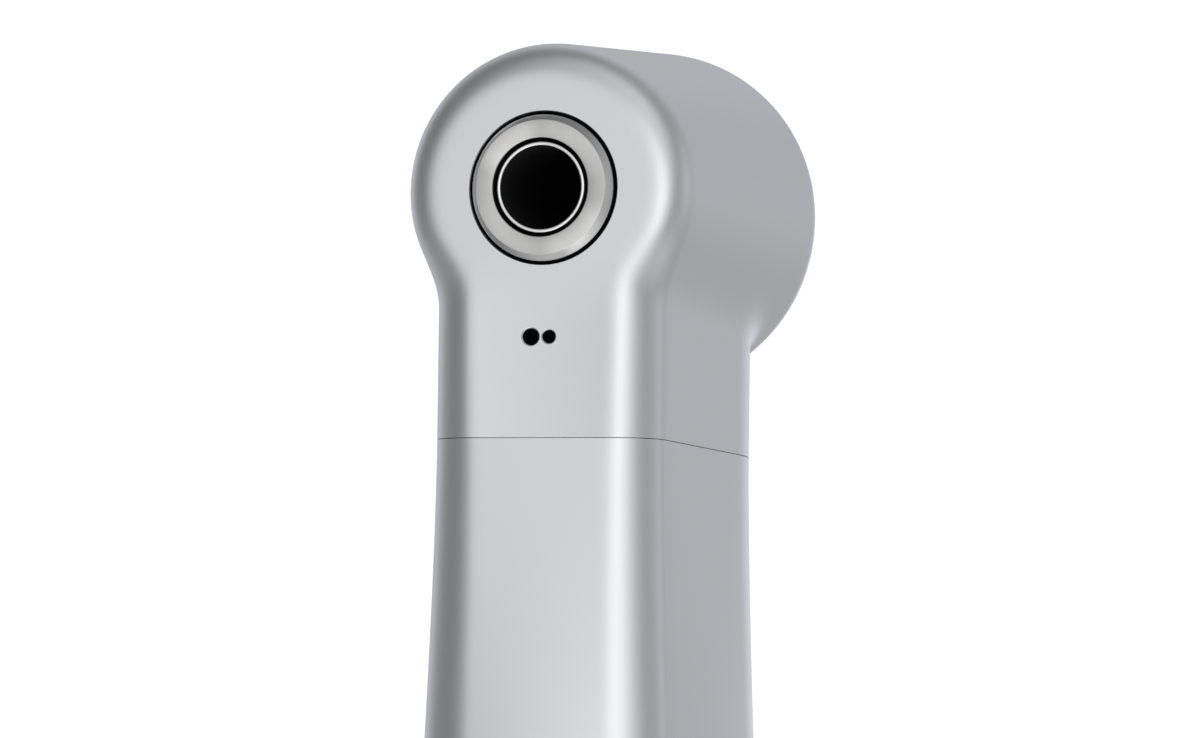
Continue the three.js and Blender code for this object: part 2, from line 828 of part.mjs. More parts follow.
const nearlyRoundShare = 0.96; // corner radius of a rounded box that passes for a circle
const straightShares = [0, 0.12, 0.25, 0.38, 0.5, 0.62, 0.74, 0.86];
const bendShares = [1, 0.75, 0.5, 0.25, 0];
const leaning = new THREE.Matrix4().makeRotationX(-bendAngle);

// Where a ring of the sheath sits on the bent centre line, for a share of the bend's angle
function bendPlace(share) {
  const turn = bendAngle * share;
  const sideways = bendRadius * (1 - Math.cos(turn));
  const up = bendRadius * Math.sin(turn) - bendReach;
  return new THREE.Matrix4().makeRotationX(-turn).setPosition(0, sideways, up);
}

// The sheath's outline changes from the neck's rounded box to the sleeve's circle as roundness goes to 1
function sheathRing(roundness, halfWidth, place) {
  const mix = (box, circle) => THREE.MathUtils.lerp(box, circle, roundness);
  const ring = neckSection({
    halfWidth,
    front: -mix(shaftDepth, sleeveTopRadius),
    back: mix(neckBack, sleeveTopRadius),
    frontRound: mix(neckFrontRound, sleeveTopRadius * nearlyRoundShare),
    backRound: mix(neckBackRound, sleeveTopRadius * nearlyRoundShare),
    draft: mix(neckSideDraft, 0),
    height: 0,
  });
  return ring.map((point) => point.applyMatrix4(place));
}

function neckSheath() {
  const top = seamHeight - seamGap / 2;
  const straightRings = straightShares.map((share) => {
    const height = THREE.MathUtils.lerp(top, bendReach, share);
    const place = leaning.clone().multiply(new THREE.Matrix4().makeTranslation(0, 0, height));
    return sheathRing(bendRoundShare * share ** neckFlarePower, neckWidthAt(height), place);
  });
  const bendRings = bendShares.map((share) => {
    const halfWidth = THREE.MathUtils.lerp(sleeveTopRadius, neckWidthAt(bendReach), share);
    return sheathRing(THREE.MathUtils.lerp(1, bendRoundShare, share), halfWidth, bendPlace(share));
  });
  const footDrop = bendHeight - sheathFoot;
  const plugDrop = bendHeight - plugFoot;
  const foot = turned(diskCorners(sleeveTopRadius, -footDrop, -bendReach + seatGap), shellSegments);
  const plug = turned(diskCorners(stageBore - seatGap, -plugDrop, -footDrop + seatGap));
  const cavity = turned(diskCorners(bendCavityRadius, cavityFoot - bendHeight, bendToothTip));
  const bushSeat = turned(diskCorners(driveBushRadius + seatGap, -plugDrop - overrun, 0));
  const upperCavity = turned(diskCorners(bendCavityRadius, -bendToothTip, bendGearBack + stageGap));
  const channel = turned(diskCorners(channelRadius, 0, top + overrun));
  const tailSeat = turned(diskCorners(tailRadius + seatGap, top - tailLength - stageGap, top + overrun));
  const leaningCuts = [upperCavity, channel, tailSeat].map((piece) => piece.applyMatrix4(leaning));
  return cut(join(skin([...straightRings, ...bendRings]), foot, plug), cavity, bushSeat, ...leaningCuts);
}

// Neck shafts, bushes and bend gears

const neckShaft = () =>
  turned(
    diskCorners(neckShaftRadius, bendToothTip + stageGap, neckLength - spindleRadius - stageGap),
    smallSegments,
  );

const neckBush = (low) =>
  turned(ringCorners(neckShaftBore, neckBushRadius, low, low + neckBushLength));

const bendGear = (bore, phase) =>
  bevelGear({
    teeth: bendTeeth,
    angle: bendGearAngle,
    length: bendConeLength,
    width: bendFaceWidth,
    tipHeight: bendToothTip,
    rootHeight: bendToothRoot,
    bore,
    back: bendGearBack,
    phase,
  });

const driveShaft = () =>
  turned(diskCorners(driveShaftRadius, carrierTop + seatGap, bendHeight - bendToothTip - stageGap));

const driveBush = () =>
  turned(
    ringCorners(driveShaftRadius + runningGap, driveBushRadius, plugFoot, plugFoot + driveBushLength),
  );

// Planetary stage

function planetCarrier(angles) {
  const low = stageTop + stageGap;
  const disk = turned(diskCorners(planetOrbit + planetPinRadius + seatGap, low, carrierTop));
  const pins = angles.map((angle) =>
    turned(diskCorners(planetPinRadius, stageFoot + seatGap, low + seatGap)).translate(
      planetOrbit * Math.cos(angle),
      planetOrbit * Math.sin(angle),
      0,
    ),
  );
  return join(disk, ...pins);
}

// The rotor's slotted shaft end drives a tongue at the foot of the input shaft
const tongueFoot = flangeTop;
const tongueTop = tongueFoot + 2 * rotorShaftRadius;
const tongueHalf = tongueThickness / 2;

function inputShaft() {
  const rod = turned(diskCorners(rotorShaftRadius, tongueFoot, stageTop));
  const width = 2 * rotorShaftRadius;
  const cheeks = [-1, 1].map((way) =>
    box(way * (tongueHalf + width / 2), 0, tongueFoot, width, 2 * width, 2 * (tongueTop - tongueFoot)),
  );
  return cut(rod, ...cheeks);
}

// Motor

function motorCan() {
  const neckRadius = rotorShaftRadius + runningGap;
  return turned([
    [motorRadius - motorWall, motorFoot],
    [motorRadius, motorFoot],
    [motorRadius, motorTop, motorWall],
    [neckRadius, motorTop],
    [neckRadius, motorTop - motorWall],
    [motorRadius - motorWall, motorTop - motorWall],
    [motorRadius - motorWall, motorFoot],
  ]);
}

const magnetOuter = motorRadius - motorWall - seatGap;

const magnetRing = () =>
  turned(
    ringCorners(
      magnetOuter - magnetThickness,
      magnetOuter,
      motorFoot + endBellThickness + stageGap,
      motorTop - motorWall - stageGap,
    ),
  );

// The rotor: slotted core on a shaft whose upper end is slotted for the input shaft's tongue
function motorRotor() {
  const coreFoot = motorFoot + endBellThickness + overrun;
  const coreTop = motorTop - motorWall - overrun;
  const radius = Math.min(rotorRadius, magnetOuter - magnetThickness - stageGap);
  const core = turned(diskCorners(radius, coreFoot, coreTop));
  const shaft = turned(diskCorners(rotorShaftRadius, motorFoot + seatGap, tongueTop - seatGap));
  const depth = 2 * (tongueTop - tongueFoot + seatGap);
  const forTongue = box(0, 0, tongueTop, 2 * (tongueHalf + seatGap), 4 * rotorShaftRadius, depth);
  const middle = (coreFoot + coreTop) / 2;
  const slotLength = coreTop - coreFoot + overrun;
  const slots = Array.from({ length: rotorSlots }, (_, i) => {
    const slot = box(radius, 0, middle, 2 * rotorSlotDepth, rotorSlotWidth, slotLength);
    return slot.rotateZ((2 * Math.PI * i) / rotorSlots);
  });
  return cut(join(core, shaft), forTongue, ...slots);
}

function motorEndBell() {
  const bore = rotorShaftRadius + runningGap;
  const bell = turned(ringCorners(bore, magnetOuter, motorFoot, motorFoot + endBellThickness));
  const middle = motorFoot - endBellThickness / 2;
  const length = endBellThickness + overrun;
  const terminals = [-1, 1].map((way) =>
    box((way * magnetOuter) / 2, 0, middle, contactPlate, endBellThickness, length),
  );
  return join(bell, ...terminals);
}

const spigotFlangeRadius = spigotRadius + spigotFlangeWidth;

const motorBulkhead = () =>
  turned(ringCorners(rotorShaftRadius + slideGap, spigotFlangeRadius, bulkheadFoot, bulkheadTop));

// Coupling between motor and contra-angle

const oRingHeights = [-1, 1].map((way) => sleeveFoot + (spigotHeight + way * oRingSpacing) / 2);

function couplingSpigot() {
  const grooveFloor = spigotRadius - oRingSink;
  const half = oRingThickness / 2 + seatGap;
  const grooves = oRingHeights.flatMap((height) => [
    [spigotRadius, height - half],
    [grooveFloor, height - half],
    [grooveFloor, height + half],
    [spigotRadius, height + half],
  ]);
  const bore = spigotRadius - spigotWall;
  return turned([
    [bore, flangeFoot],
    [spigotFlangeRadius, flangeFoot],
    [spigotFlangeRadius, flangeTop],
    [spigotRadius, flangeTop],
    ...grooves,
    [spigotRadius, spigotTop],
    [bore, spigotTop],
    [bore, flangeFoot],
  ]);
}

function oRing(height) {
  const radius = oRingThickness / 2;
  const middle = spigotRadius + sleeveGap / 2 - radius;
  const section = Array.from({ length: oRingSegments + 1 }, (_, i) => {
    const angle = (2 * Math.PI * i) / oRingSegments;
    return [middle + radius * Math.cos(angle), height + radius * Math.sin(angle)];
  });
  return turned(section);
}

const collarRing = () =>
  turned(
    [
      [spigotRadius + slideGap, collarFoot],
      [collarRadius, collarFoot],
      [sleeveLowRadius, collarTop],
      [spigotRadius + slideGap, collarTop],
      [spigotRadius + slideGap, collarFoot],
    ],
    shellSegments,
  );

const sleeveShares = [0.6, 0.8, 1]; // heights of its smooth upper part

// The sleeve's outside narrows upwards and has grip grooves near its foot
function rearSleeve() {
  const length = sleeveTop - sleeveFoot;
  const radiusAt = (height) => {
    const share = (height - sleeveFoot) / length;
    return sleeveLowRadius - sleeveFlare * (1 - (1 - share) ** 2);
  };
  const grooves = Array.from({ length: sleeveGripGrooves }, (_, i) => {
    const low = sleeveFoot + (2 * i + 2) * sleeveGrooveWidth;
    const high = low + sleeveGrooveWidth;
    return [
      [radiusAt(low), low],
      [radiusAt(low) - sleeveGrooveDepth, low + sleeveGrooveDepth],
      [radiusAt(high) - sleeveGrooveDepth, high - sleeveGrooveDepth],
      [radiusAt(high), high],
    ];
  }).flat();
  const upper = sleeveShares.map((share) => {
    const height = THREE.MathUtils.lerp(sleeveFoot, sleeveTop, share);
    return [radiusAt(height), height];
  });
  const bore = spigotRadius + sleeveGap;
  return turned(
    [
      [bore, sleeveFoot],
      [radiusAt(sleeveFoot), sleeveFoot],
      ...grooves,
      ...upper,
      [stageBore, sleeveTop],
      [stageBore, stageFoot - seatGap],
      [bore, stageFoot - seatGap],
      [bore, sleeveFoot],
    ],
    shellSegments,
  );
}

// Handle casings, end cap and battery cover

const taperShares = [0.33, 0.66, 1]; // heights of the handle's rings in its foot's taper
const shoulderShares = [0, 0.2, 0.4, 0.6, 0.8]; // and in its shoulder

// One ring of the handle's outside at a height, or of a surface that lies inset from it
function handleRing(height, inset) {
  const foot = THREE.MathUtils.clamp(1 - (height - endCapHeight) / footTaperHeight, 0, 1);
  const shoulder = THREE.MathUtils.smoothstep(height, shoulderHeight, handleTop + overrun);
  const narrow = casingFootTaper * foot * foot + inset;
  const sizes = [
    [casingHalfWidth - narrow, collarRadius - inset],
    [backOuter + narrow, inset - collarRadius],
    [frontOuter - narrow, collarRadius - inset],
    [casingCorner - inset, (collarRadius - inset) * nearlyRoundShare],
    [casingBackCorner - inset, (collarRadius - inset) * nearlyRoundShare],
  ];
  const [halfWidth, back, front, corner, backCorner] = sizes.map(([low, high]) =>
    THREE.MathUtils.lerp(low, high, shoulder),
  );
  const corners = [
    [-halfWidth, back, backCorner],
    [halfWidth, back, backCorner],
    [halfWidth, front, corner],
    [-halfWidth, front, corner],
  ];
  return rounded(corners, shellArcSteps).map(({ x, y }) => new THREE.Vector3(x, y, height));
}

function handleSolid(low, high, inset) {
  const stops = [
    ...taperShares.map((share) => endCapHeight + share * footTaperHeight),
    ...shoulderShares.map((share) => THREE.MathUtils.lerp(shoulderHeight, handleTop, share)),
  ];
  const inside = stops.filter((stop) => stop > low + seatGap && stop < high - seatGap);
  return skin([low, ...inside, high].map((height) => handleRing(height, inset)));
}

const handleShell = () =>
  cut(
    handleSolid(endCapHeight + casingGap, handleTop, 0),
    handleSolid(endCapHeight - overrun, cavityTop, casingWall),
    turned(diskCorners(spigotRadius + slideGap, cavityTop - overrun, handleTop + overrun)),
  );

// The half of space in front of or behind the parting plane
function halfSpace(way) {
  const size = 4 * casingHalfWidth;
  const middle = way * (size / 2 + casingGap / 2);
  return box(0, middle, handleTop / 2, size, size, 2 * handleTop);
}

const buttonHole = (radius, x, height) =>
  turnedY(diskCorners(radius + slideGap, boardFront, frontOuter + overrun)).translate(x, 0, height);

// The user looks at the keys along -Y, so +X is on the left
const keyPlaces = {
  minus_key: [keySideways, keyHeight],
  plus_key: [-keySideways, keyHeight],
  set_key: [0, setKeyHeight],
};

function displayCasing(shell) {
  const windowSeat = plate(
    windowHalfWidth + seatGap,
    windowFoot - seatGap,
    windowTop + seatGap,
    windowCorner,
    frontOuter - windowThickness - seatGap,
    frontOuter + overrun,
  );
  const opening = plate(
    windowHalfWidth - windowLedge,
    windowFoot + windowLedge,
    windowTop - windowLedge,
    windowCorner,
    boardFront,
    frontOuter,
  );
  const keyHoles = Object.values(keyPlaces).map(([x, height]) => buttonHole(keyRadius, x, height));
  const startHole = buttonHole(startRadius, 0, startHeight);
  return cut(common(shell, halfSpace(1)), windowSeat, opening, startHole, ...keyHoles);
}

const coverBlock = (margin) =>
  plate(
    batteryRadius + coverSideRoom + margin,
    coverFoot - margin,
    coverTop + margin,
    coverCorner,
    backOuter - overrun,
    backInner + casingWall,
  );

const screwHole = (radius, low, high) =>
  turnedY(diskCorners(radius, low, high)).translate(0, 0, screwHeight);

const partitionBack = backInner + casingGap;

// The back casing has a wall across it that stops the cell and takes the cover's screw
function backCasing(shell) {
  const open = cut(common(shell, halfSpace(-1)), coverBlock(casingGap));
  const wall = box(
    0,
    partitionBack + partitionDepth / 2,
    screwHeight,
    2 * (casingHalfWidth - casingWall / 2),
    partitionDepth,
    partitionHeight,
  );
  const seatedWall = common(wall, handleSolid(endCapHeight, cavityTop, casingWall / 2));
  const partitionFront = partitionBack + partitionDepth;
  const hole = screwHole(screwRadius + seatGap, partitionBack - overrun, partitionFront + overrun);
  return cut(join(open, seatedWall), hole);
}

function batteryCover(shell) {
  const behind = backOuter - overrun;
  const headSeat = screwHole(screwHeadRadius + slideGap, behind, backOuter + screwHeadHeight);
  const hole = screwHole(screwRadius + slideGap, behind, backInner + overrun);
  const wallSeat = box(
    0,
    partitionBack - casingGap + partitionDepth / 2,
    screwHeight,
    2 * casingHalfWidth,
    partitionDepth,
    partitionHeight + 2 * casingGap,
  );
  return cut(common(common(shell, halfSpace(-1)), coverBlock(0)), headSeat, hole, wallSeat);
}

function coverScrew() {
  const low = backOuter + seatGap;
  const seat = backOuter + screwHeadHeight - seatGap;
  const body = turnedY([
    [0, low],
    [screwHeadRadius, low],
    [screwHeadRadius, seat],
    [screwRadius, seat],
    [screwRadius, seat + screwLength],
    [0, seat + screwLength],
  ]);
  const slot = box(0, low, 0, screwSlotWidth, 2 * screwSlotDepth, screwSlotLength);
  const crossSlot = slot.clone().rotateY(Math.PI / 2);
  return cut(body, slot, crossSlot).translate(0, 0, screwHeight);
}

const capBack = backOuter + casingFootTaper; // the cap's flat back, where the charging pads sit
const chargePadX = [-chargePadSpacing / 2, chargePadSpacing / 2];

const padAt = (radius, back, length, x) =>
  turnedY(diskCorners(radius, back, back + length)).translate(x, 0, endCapHeight / 2);

function endCap() {
  const edge = Array.from({ length: arcSteps + 1 }, (_, k) => {
    const turn = (Math.PI / 2) * (k / arcSteps);
    return handleRing(endCapRound * (1 - Math.cos(turn)), endCapRound * (1 - Math.sin(turn)));
  });
  const outside = skin([...edge, handleRing(endCapHeight, 0)]);
  const lipTop = endCapHeight + endCapLip;
  const lip = handleSolid(endCapHeight - overrun, lipTop, casingWall + casingGap);
  const hollow = handleSolid(endCapWall, lipTop + overrun, casingWall + casingGap + endCapWall);
  const seatLength = overrun + chargePadLength + seatGap;
  const seats = chargePadX.map((x) => padAt(chargePadRadius + seatGap, capBack - overrun, seatLength, x));
  return cut(join(outside, lip), hollow, ...seats);
}

const chargePad = (x) => padAt(chargePadRadius, capBack, chargePadLength, x);

// Battery and its contacts

const cellMiddle = -batteryShift;

function batteryCell() {
  const cell = turned(diskCorners(batteryRadius, batteryFoot, batteryTop, edgeRound));
  return cell.translate(0, cellMiddle, 0);
}

// A contact: a thin plate with a raised bump that faces the cell
function batteryContact(plateHeight, way) {
  const low = Math.min(plateHeight, plateHeight + way * contactPlate);
  const disk = turned(diskCorners(contactPlateRadius, low, low + contactPlate));
  const bump = contactRoom - stageGap - contactPlate / 2;
  const foot = low + contactPlate / 2 - (way > 0 ? 0 : bump);
  const boss = turned(diskCorners(contactPlateRadius / 2, foot, foot + bump));
  return join(disk, boss).translate(0, cellMiddle, 0);
}

// Electronics

// The board carries its chips on the side that faces the motor and the cell
function circuitBoard() {
  const blank = plate(boardHalfWidth, boardFoot, boardTop, edgeRound, boardBack, boardFront);
  const middle = (boardFoot + boardTop) / 2;
  const chips = Array.from({ length: chipCount }, (_, i) => {
    const height = middle + (i - (chipCount - 1) / 2) * chipPitch;
    const depth = chipHeight + boardThickness / 2;
    return box(0, boardBack - chipHeight + depth / 2, height, chipWidth, depth, chipWidth);
  });
  return join(blank, ...chips);
}

const displayModule = () =>
  plate(
    windowHalfWidth - seatGap,
    windowFoot - windowLedge,
    windowTop + windowLedge,
    edgeRound,
    displayBack,
    displayFront,
  );

const displayWindow = () =>
  plate(windowHalfWidth, windowFoot, windowTop, windowCorner, frontOuter - windowThickness, frontOuter);

function keyDomeSheet() {
  const back = boardFront + seatGap;
  const sheet = plate(
    keySideways + domeRadius,
    keyHeight - domeRadius - edgeRound,
    setKeyHeight + domeRadius + edgeRound,
    edgeRound,
    back,
    back + domeSheetThickness,
  );
  const front = back + domeSheetThickness;
  const corners = [
    [0, back],
    [domeRadius, back],
    [domeRadius, front],
    [domeRadius / 2, front + domeHeight],
    [0, front + domeHeight],
  ];
  const domes = Object.values(keyPlaces).map(([x, height]) =>
    turnedY(corners, smallSegments).translate(x, 0, height),
  );
  return join(sheet, ...domes);
}

function startSwitch() {
  const back = boardFront + seatGap;
  const width = 2 * switchHalfWidth;
  const body = box(0, back + switchHeight / 2, startHeight, width, switchHeight, width);
  const plunger = turnedY(
    diskCorners(switchPlungerRadius, back, back + switchHeight + switchPlungerHeight),
    smallSegments,
  );
  return join(body, plunger.translate(0, 0, startHeight));
}

// A button: cap, flange under the casing and a stem that reaches its switch
function button(radius, standOut, travel, contactFront) {
  const flangeFront = frontInner - seatGap;
  const flangeBack = flangeFront - keyFlange;
  return turnedY([
    [0, contactFront + travel + seatGap],
    [stemRadius, contactFront + travel + seatGap],
    [stemRadius, flangeBack],
    [radius + keyFlangeWidth, flangeBack],
    [radius + keyFlangeWidth, flangeFront],
    [radius, flangeFront],
    [radius, frontOuter + standOut, standOut / 2],
    [0, frontOuter + standOut],
  ]);
}

// Assembly: the handle and sleeve stand upright, the neck leans at the bend, the head turns about its own +Y
const part = new THREE.Group();
const bend = new THREE.Group();
const neck = new THREE.Group();
const head = new THREE.Group();
bend.position.z = bendHeight;
neck.rotation.x = -bendAngle;
head.position.set(0, -shaftDepth, neckLength);
part.add(bend);
bend.add(neck);
neck.add(head);

function add(parent, name, geometry, material, place = [0, 0, 0]) {
  const mesh = new THREE.Mesh(geometry, material);
  mesh.name = name;
  mesh.position.set(...place);
  parent.add(mesh);
}

// Handle
const shell = handleShell();
add(part, "display_casing", displayCasing(shell), whitePlastic);
add(part, "back_casing", backCasing(shell), whitePlastic);
add(part, "battery_cover", batteryCover(shell), greyPlastic);
add(part, "cover_screw", coverScrew(), steel);
add(part, "end_cap", endCap(), greyPlastic);
add(part, "charging_contact_left", chargePad(chargePadX[0]), brass);
add(part, "charging_contact_right", chargePad(chargePadX[1]), brass);
add(part, "battery_cell", batteryCell(), cellBlue);
add(part, "battery_contact_lower", batteryContact(endCapHeight + endCapLip + stageGap, 1), brass);
add(part, "battery_contact_upper", batteryContact(partitionFoot - stageGap, -1), brass);
add(part, "circuit_board", circuitBoard(), boardGreen);
add(part, "display_module", displayModule(), blackPlastic);
add(part, "display_window", displayWindow(), darkGlass);
add(part, "key_dome_sheet", keyDomeSheet(), greyPlastic);
add(part, "start_switch", startSwitch(), blackPlastic);
const domeTop = boardFront + seatGap + domeSheetThickness + domeHeight;
for (const [name, [x, height]] of Object.entries(keyPlaces))
  add(part, name, button(keyRadius, keyStandOut, keyTravel, domeTop), greyPlastic, [x, 0, height]);
const plungerTop = boardFront + seatGap + switchHeight + switchPlungerHeight;
const startButton = button(startRadius, startStandOut, startTravel, plungerTop);
add(part, "start_button", startButton, greyPlastic, [0, 0, startHeight]);

// Motor and coupling
add(part, "motor_can", motorCan(), steel);
add(part, "motor_magnet_ring", magnetRing(), magnetBlack);
add(part, "motor_end_bell", motorEndBell(), blackPlastic);
add(part, "motor_bulkhead", motorBulkhead(), greyPlastic);
add(part, "motor_rotor", motorRotor(), copper);
add(part, "coupling_spigot", couplingSpigot(), steel);
add(part, "collar_ring", collarRing(), satinSilver);
add(part, "o_ring_lower", oRing(oRingHeights[0]), blackRubber);
add(part, "o_ring_upper", oRing(oRingHeights[1]), blackRubber);

// Rear sleeve with the planetary stage
const planetAngles = Array.from(
  { length: planetCount },
  (_, i) => Math.PI / 2 + (2 * Math.PI * i) / planetCount,
);
const sunGear = spurGear(sunTeeth, rotorShaftRadius + seatGap, Math.PI / 2);
add(part, "rear_sleeve", rearSleeve(), satinSilver);
add(part, "input_shaft", inputShaft(), steel);
add(part, "sun_gear", sunGear, brass, [0, 0, stageFoot]);
add(part, "ring_gear", internalGear(Math.PI / 2), steel, [0, 0, stageFoot]);
planetAngles.forEach((angle, i) => {
  const gear = spurGear(planetTeeth, planetPinRadius + runningGap, angle + Math.PI / planetTeeth);
  const place = [planetOrbit * Math.cos(angle), planetOrbit * Math.sin(angle), stageFoot];
  add(part, `planet_gear_${i + 1}`, gear, brass, place);
});
add(part, "planet_carrier", planetCarrier(planetAngles), steel);
add(part, "drive_shaft", driveShaft(), steel);
add(part, "drive_shaft_bush", driveBush(), brass);

// Neck
add(bend, "neck_sheath", neckSheath(), satinSilver);
const driveGear = bendGear(driveShaftRadius + seatGap, 0).rotateX(Math.PI);
add(bend, "drive_bend_gear", driveGear, steel);
add(neck, "neck_bend_gear", bendGear(neckShaftRadius + seatGap, Math.PI / bendTeeth), steel);
add(neck, "neck_shaft", neckShaft(), steel);
add(neck, "neck_bush_lower", neckBush(bendGearBack + stageGap + seatGap), brass);
add(neck, "neck_bush_upper", neckBush(neckLength - upperBushDrop - neckBushLength), brass);

// Head
add(head, "head_housing", headHousing(), satinSilver);
add(head, "chuck_guard_ring", guardRing(), nickel);
add(head, "chuck_spindle", chuckSpindle(), steel);
add(head, "chuck_latch", chuckLatch(), steel);
add(head, "chuck_gear", chuckGear().rotateX(Math.PI / 2), steel, [0, shaftDepth, 0]);
add(head, "neck_pinion", neckPinion().rotateX(Math.PI), steel, [0, shaftDepth, 0]);
for (const [name, front] of [["front", frontBearingFront], ["rear", rearBearingFront]]) {
  add(head, `${name}_bearing_outer_race`, race(front, 1), steel);
  add(head, `${name}_bearing_inner_race`, race(front, -1), steel);
  add(head, `${name}_bearing_ball_cage`, ballCage(front), steel);
}
add(head, "chuck_release_button", chuckButton(), satinSilver);
add(head, "button_spring", buttonSpring(), steel);
add(head, "button_retainer_ring", buttonRetainer(), satinSilver);

export default part;
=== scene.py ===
import json
import math

import bmesh
import bpy
import numpy as np
from mathutils import Matrix, Vector


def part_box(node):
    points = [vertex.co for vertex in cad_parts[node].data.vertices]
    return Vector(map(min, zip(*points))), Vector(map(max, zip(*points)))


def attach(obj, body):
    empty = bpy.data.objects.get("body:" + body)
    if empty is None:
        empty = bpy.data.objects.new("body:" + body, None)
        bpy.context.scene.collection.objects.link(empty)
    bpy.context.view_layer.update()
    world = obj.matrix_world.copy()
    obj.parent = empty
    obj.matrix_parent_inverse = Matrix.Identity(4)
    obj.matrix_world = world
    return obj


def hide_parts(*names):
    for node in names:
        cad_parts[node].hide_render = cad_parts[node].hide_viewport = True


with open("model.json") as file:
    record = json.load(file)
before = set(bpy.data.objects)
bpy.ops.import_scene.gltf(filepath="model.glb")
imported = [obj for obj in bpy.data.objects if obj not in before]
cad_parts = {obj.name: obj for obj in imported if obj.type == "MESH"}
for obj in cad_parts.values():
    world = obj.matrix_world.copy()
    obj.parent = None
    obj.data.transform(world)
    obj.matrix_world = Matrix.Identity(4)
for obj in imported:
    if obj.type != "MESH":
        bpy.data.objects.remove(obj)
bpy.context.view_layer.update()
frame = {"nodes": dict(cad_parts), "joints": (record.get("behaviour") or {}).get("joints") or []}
nodes = frame["nodes"]
joints = {joint["name"]: joint for joint in frame["joints"]}
mm = 0.001
seatGap = 0.05  # room round a piece that is seated in another, in millimetres
overrun = 1  # how far a cutting shape reaches past what it cuts
weldReach = 2e-4  # points closer than this become one


# Where things are. Every local frame is in millimetres and is read from the joints.

def pointsOf(name):
    mesh = nodes[name].data
    flat = np.zeros(3 * len(mesh.vertices))
    mesh.vertices.foreach_get("co", flat)
    return flat.reshape(-1, 3)


def localPlace(origin, inward, upward):
    turn = Matrix((inward.cross(upward), inward, upward)).transposed().to_4x4()
    return Matrix.Translation(origin) @ turn @ Matrix.Scale(mm, 4)


def boundsIn(place, name, lowest=-math.inf, highest=math.inf):
    # lowest and highest corner of a node in a local frame, of its points between two heights
    toLocal = np.array(place.inverted())
    points = pointsOf(name) @ toLocal[:3, :3].T + toLocal[:3, 3]
    kept = points[(points[:, 2] >= lowest) & (points[:, 2] <= highest)]
    return Vector(kept.min(0)), Vector(kept.max(0))


upright = Matrix.Scale(mm, 4)
neckAxis = Vector(joints["neck_spin"]["axis"])
chuckAxis = Vector(joints["chuck_spin"]["axis"])
neckPlace = localPlace(Vector(joints["neck_spin"]["pos_m"]), chuckAxis, neckAxis)
headPlace = localPlace(Vector(joints["chuck_spin"]["pos_m"]), chuckAxis, neckAxis)
headPlace = headPlace @ Matrix.Translation((0, boundsIn(headPlace, "head_housing")[0].y, 0))
chuckPlace = headPlace @ Matrix.Rotation(-math.pi / 2, 4, "X")  # its Z runs into the head
standing = upright @ Matrix.Rotation(math.pi / 2, 4, "X")  # its X and Y are the handle's X and Z
bendAngle = math.atan2(neckAxis.y, neckAxis.z)


# Meshes

def addMesh(name, points, faces, place=upright, sharpAngle=35):
    matrix = np.array(place)
    placed = np.asarray(points, float) @ matrix[:3, :3].T + matrix[:3, 3]
    mesh = bpy.data.meshes.new(name)
    mesh.from_pydata(placed.tolist(), [], [list(map(int, face)) for face in faces])
    work = bmesh.new()
    work.from_mesh(mesh)
    bmesh.ops.remove_doubles(work, verts=work.verts, dist=weldReach * mm)
    bmesh.ops.recalc_face_normals(work, faces=work.faces)
    work.to_mesh(mesh)
    work.free()
    piece = bpy.data.objects.new(name, mesh)
    bpy.context.scene.collection.objects.link(piece)
    smooth(piece, sharpAngle)
    return piece


def smooth(piece, sharpAngle=35):
    piece.data.shade_smooth()
    piece.data.set_sharp_from_angle(angle=math.radians(sharpAngle))
    return piece


def rounded(corners, steps=6):
    # corners (x, y) or (x, y, radius) become a line with an arc wherever a radius is given
    line = []
    for i, corner in enumerate(corners):
        here = Vector(corner[:2])
        radius = corner[2] if len(corner) > 2 else 0
        if not radius:
            line.append(here)
            continue
        before = (Vector(corners[i - 1][:2]) - here).normalized()
        after = (Vector(corners[(i + 1) % len(corners)][:2]) - here).normalized()
        half = before.angle(after) / 2
        centre = here + (before + after).normalized() * radius / math.sin(half)
        start = here + before * radius / math.tan(half) - centre
        end = here + after * radius / math.tan(half) - centre
        turn = math.atan2(start.cross(end), start.dot(end))
        for k in range(steps + 1):
            line.append(centre + Matrix.Rotation(turn * k / steps, 2) @ start)
    return line


def loft(name, rings, place=upright, isLoop=False, sharpAngle=35):
    # a skin over rings of equal length, closed on itself or with flat ends
    count = len(rings[0])
    points = [tuple(point) for ring in rings for point in ring]
    faces = []
    for i in range(len(rings) if isLoop else len(rings) - 1):
        low, high = i * count, (i + 1) % len(rings) * count
        for j in range(count):
            k = (j + 1) % count
            faces.append((low + j, low + k, high + k, high + j))
    if not isLoop:
        faces.append(range(count))
        faces.append(range(len(points) - count, len(points)))
    return addMesh(name, points, faces, place, sharpAngle)


def lathe(name, corners, place=upright, segments=96, steps=6, sharpAngle=35):
    # turned about the place's Z from (radius, height, rounding); a ring closes on itself
    profile = rounded(corners, steps)
    rings = []
    for i in range(segments):
        angle = 2 * math.pi * i / segments
        rings.append([(r * math.cos(angle), r * math.sin(angle), h) for r, h in profile])
    count = len(profile)
    isTube = corners[0][0] > 0
    faces = []
    for i in range(segments):
        low, high = i * count, (i + 1) % segments * count
        for j in range(count if isTube else count - 1):
            k = (j + 1) % count
            faces.append((low + j, low + k, high + k, high + j))
    return addMesh(name, [point for ring in rings for point in ring], faces, place, sharpAngle)


def tube(inner, outer, low, high, edge=0):
    return [(inner, low, edge), (outer, low, edge), (outer, high, edge), (inner, high, edge)]


def disk(radius, low, high, edge=0):
    return [(0, low), (radius, low, edge), (radius, high, edge), (0, high)]


def dished(radius, height, depth, steps):
    # points of a shallow dish, from its rim to the axis
    return [(radius * k / steps, height - depth * (1 - (k / steps) ** 2)) for k in range(steps, -1, -1)]


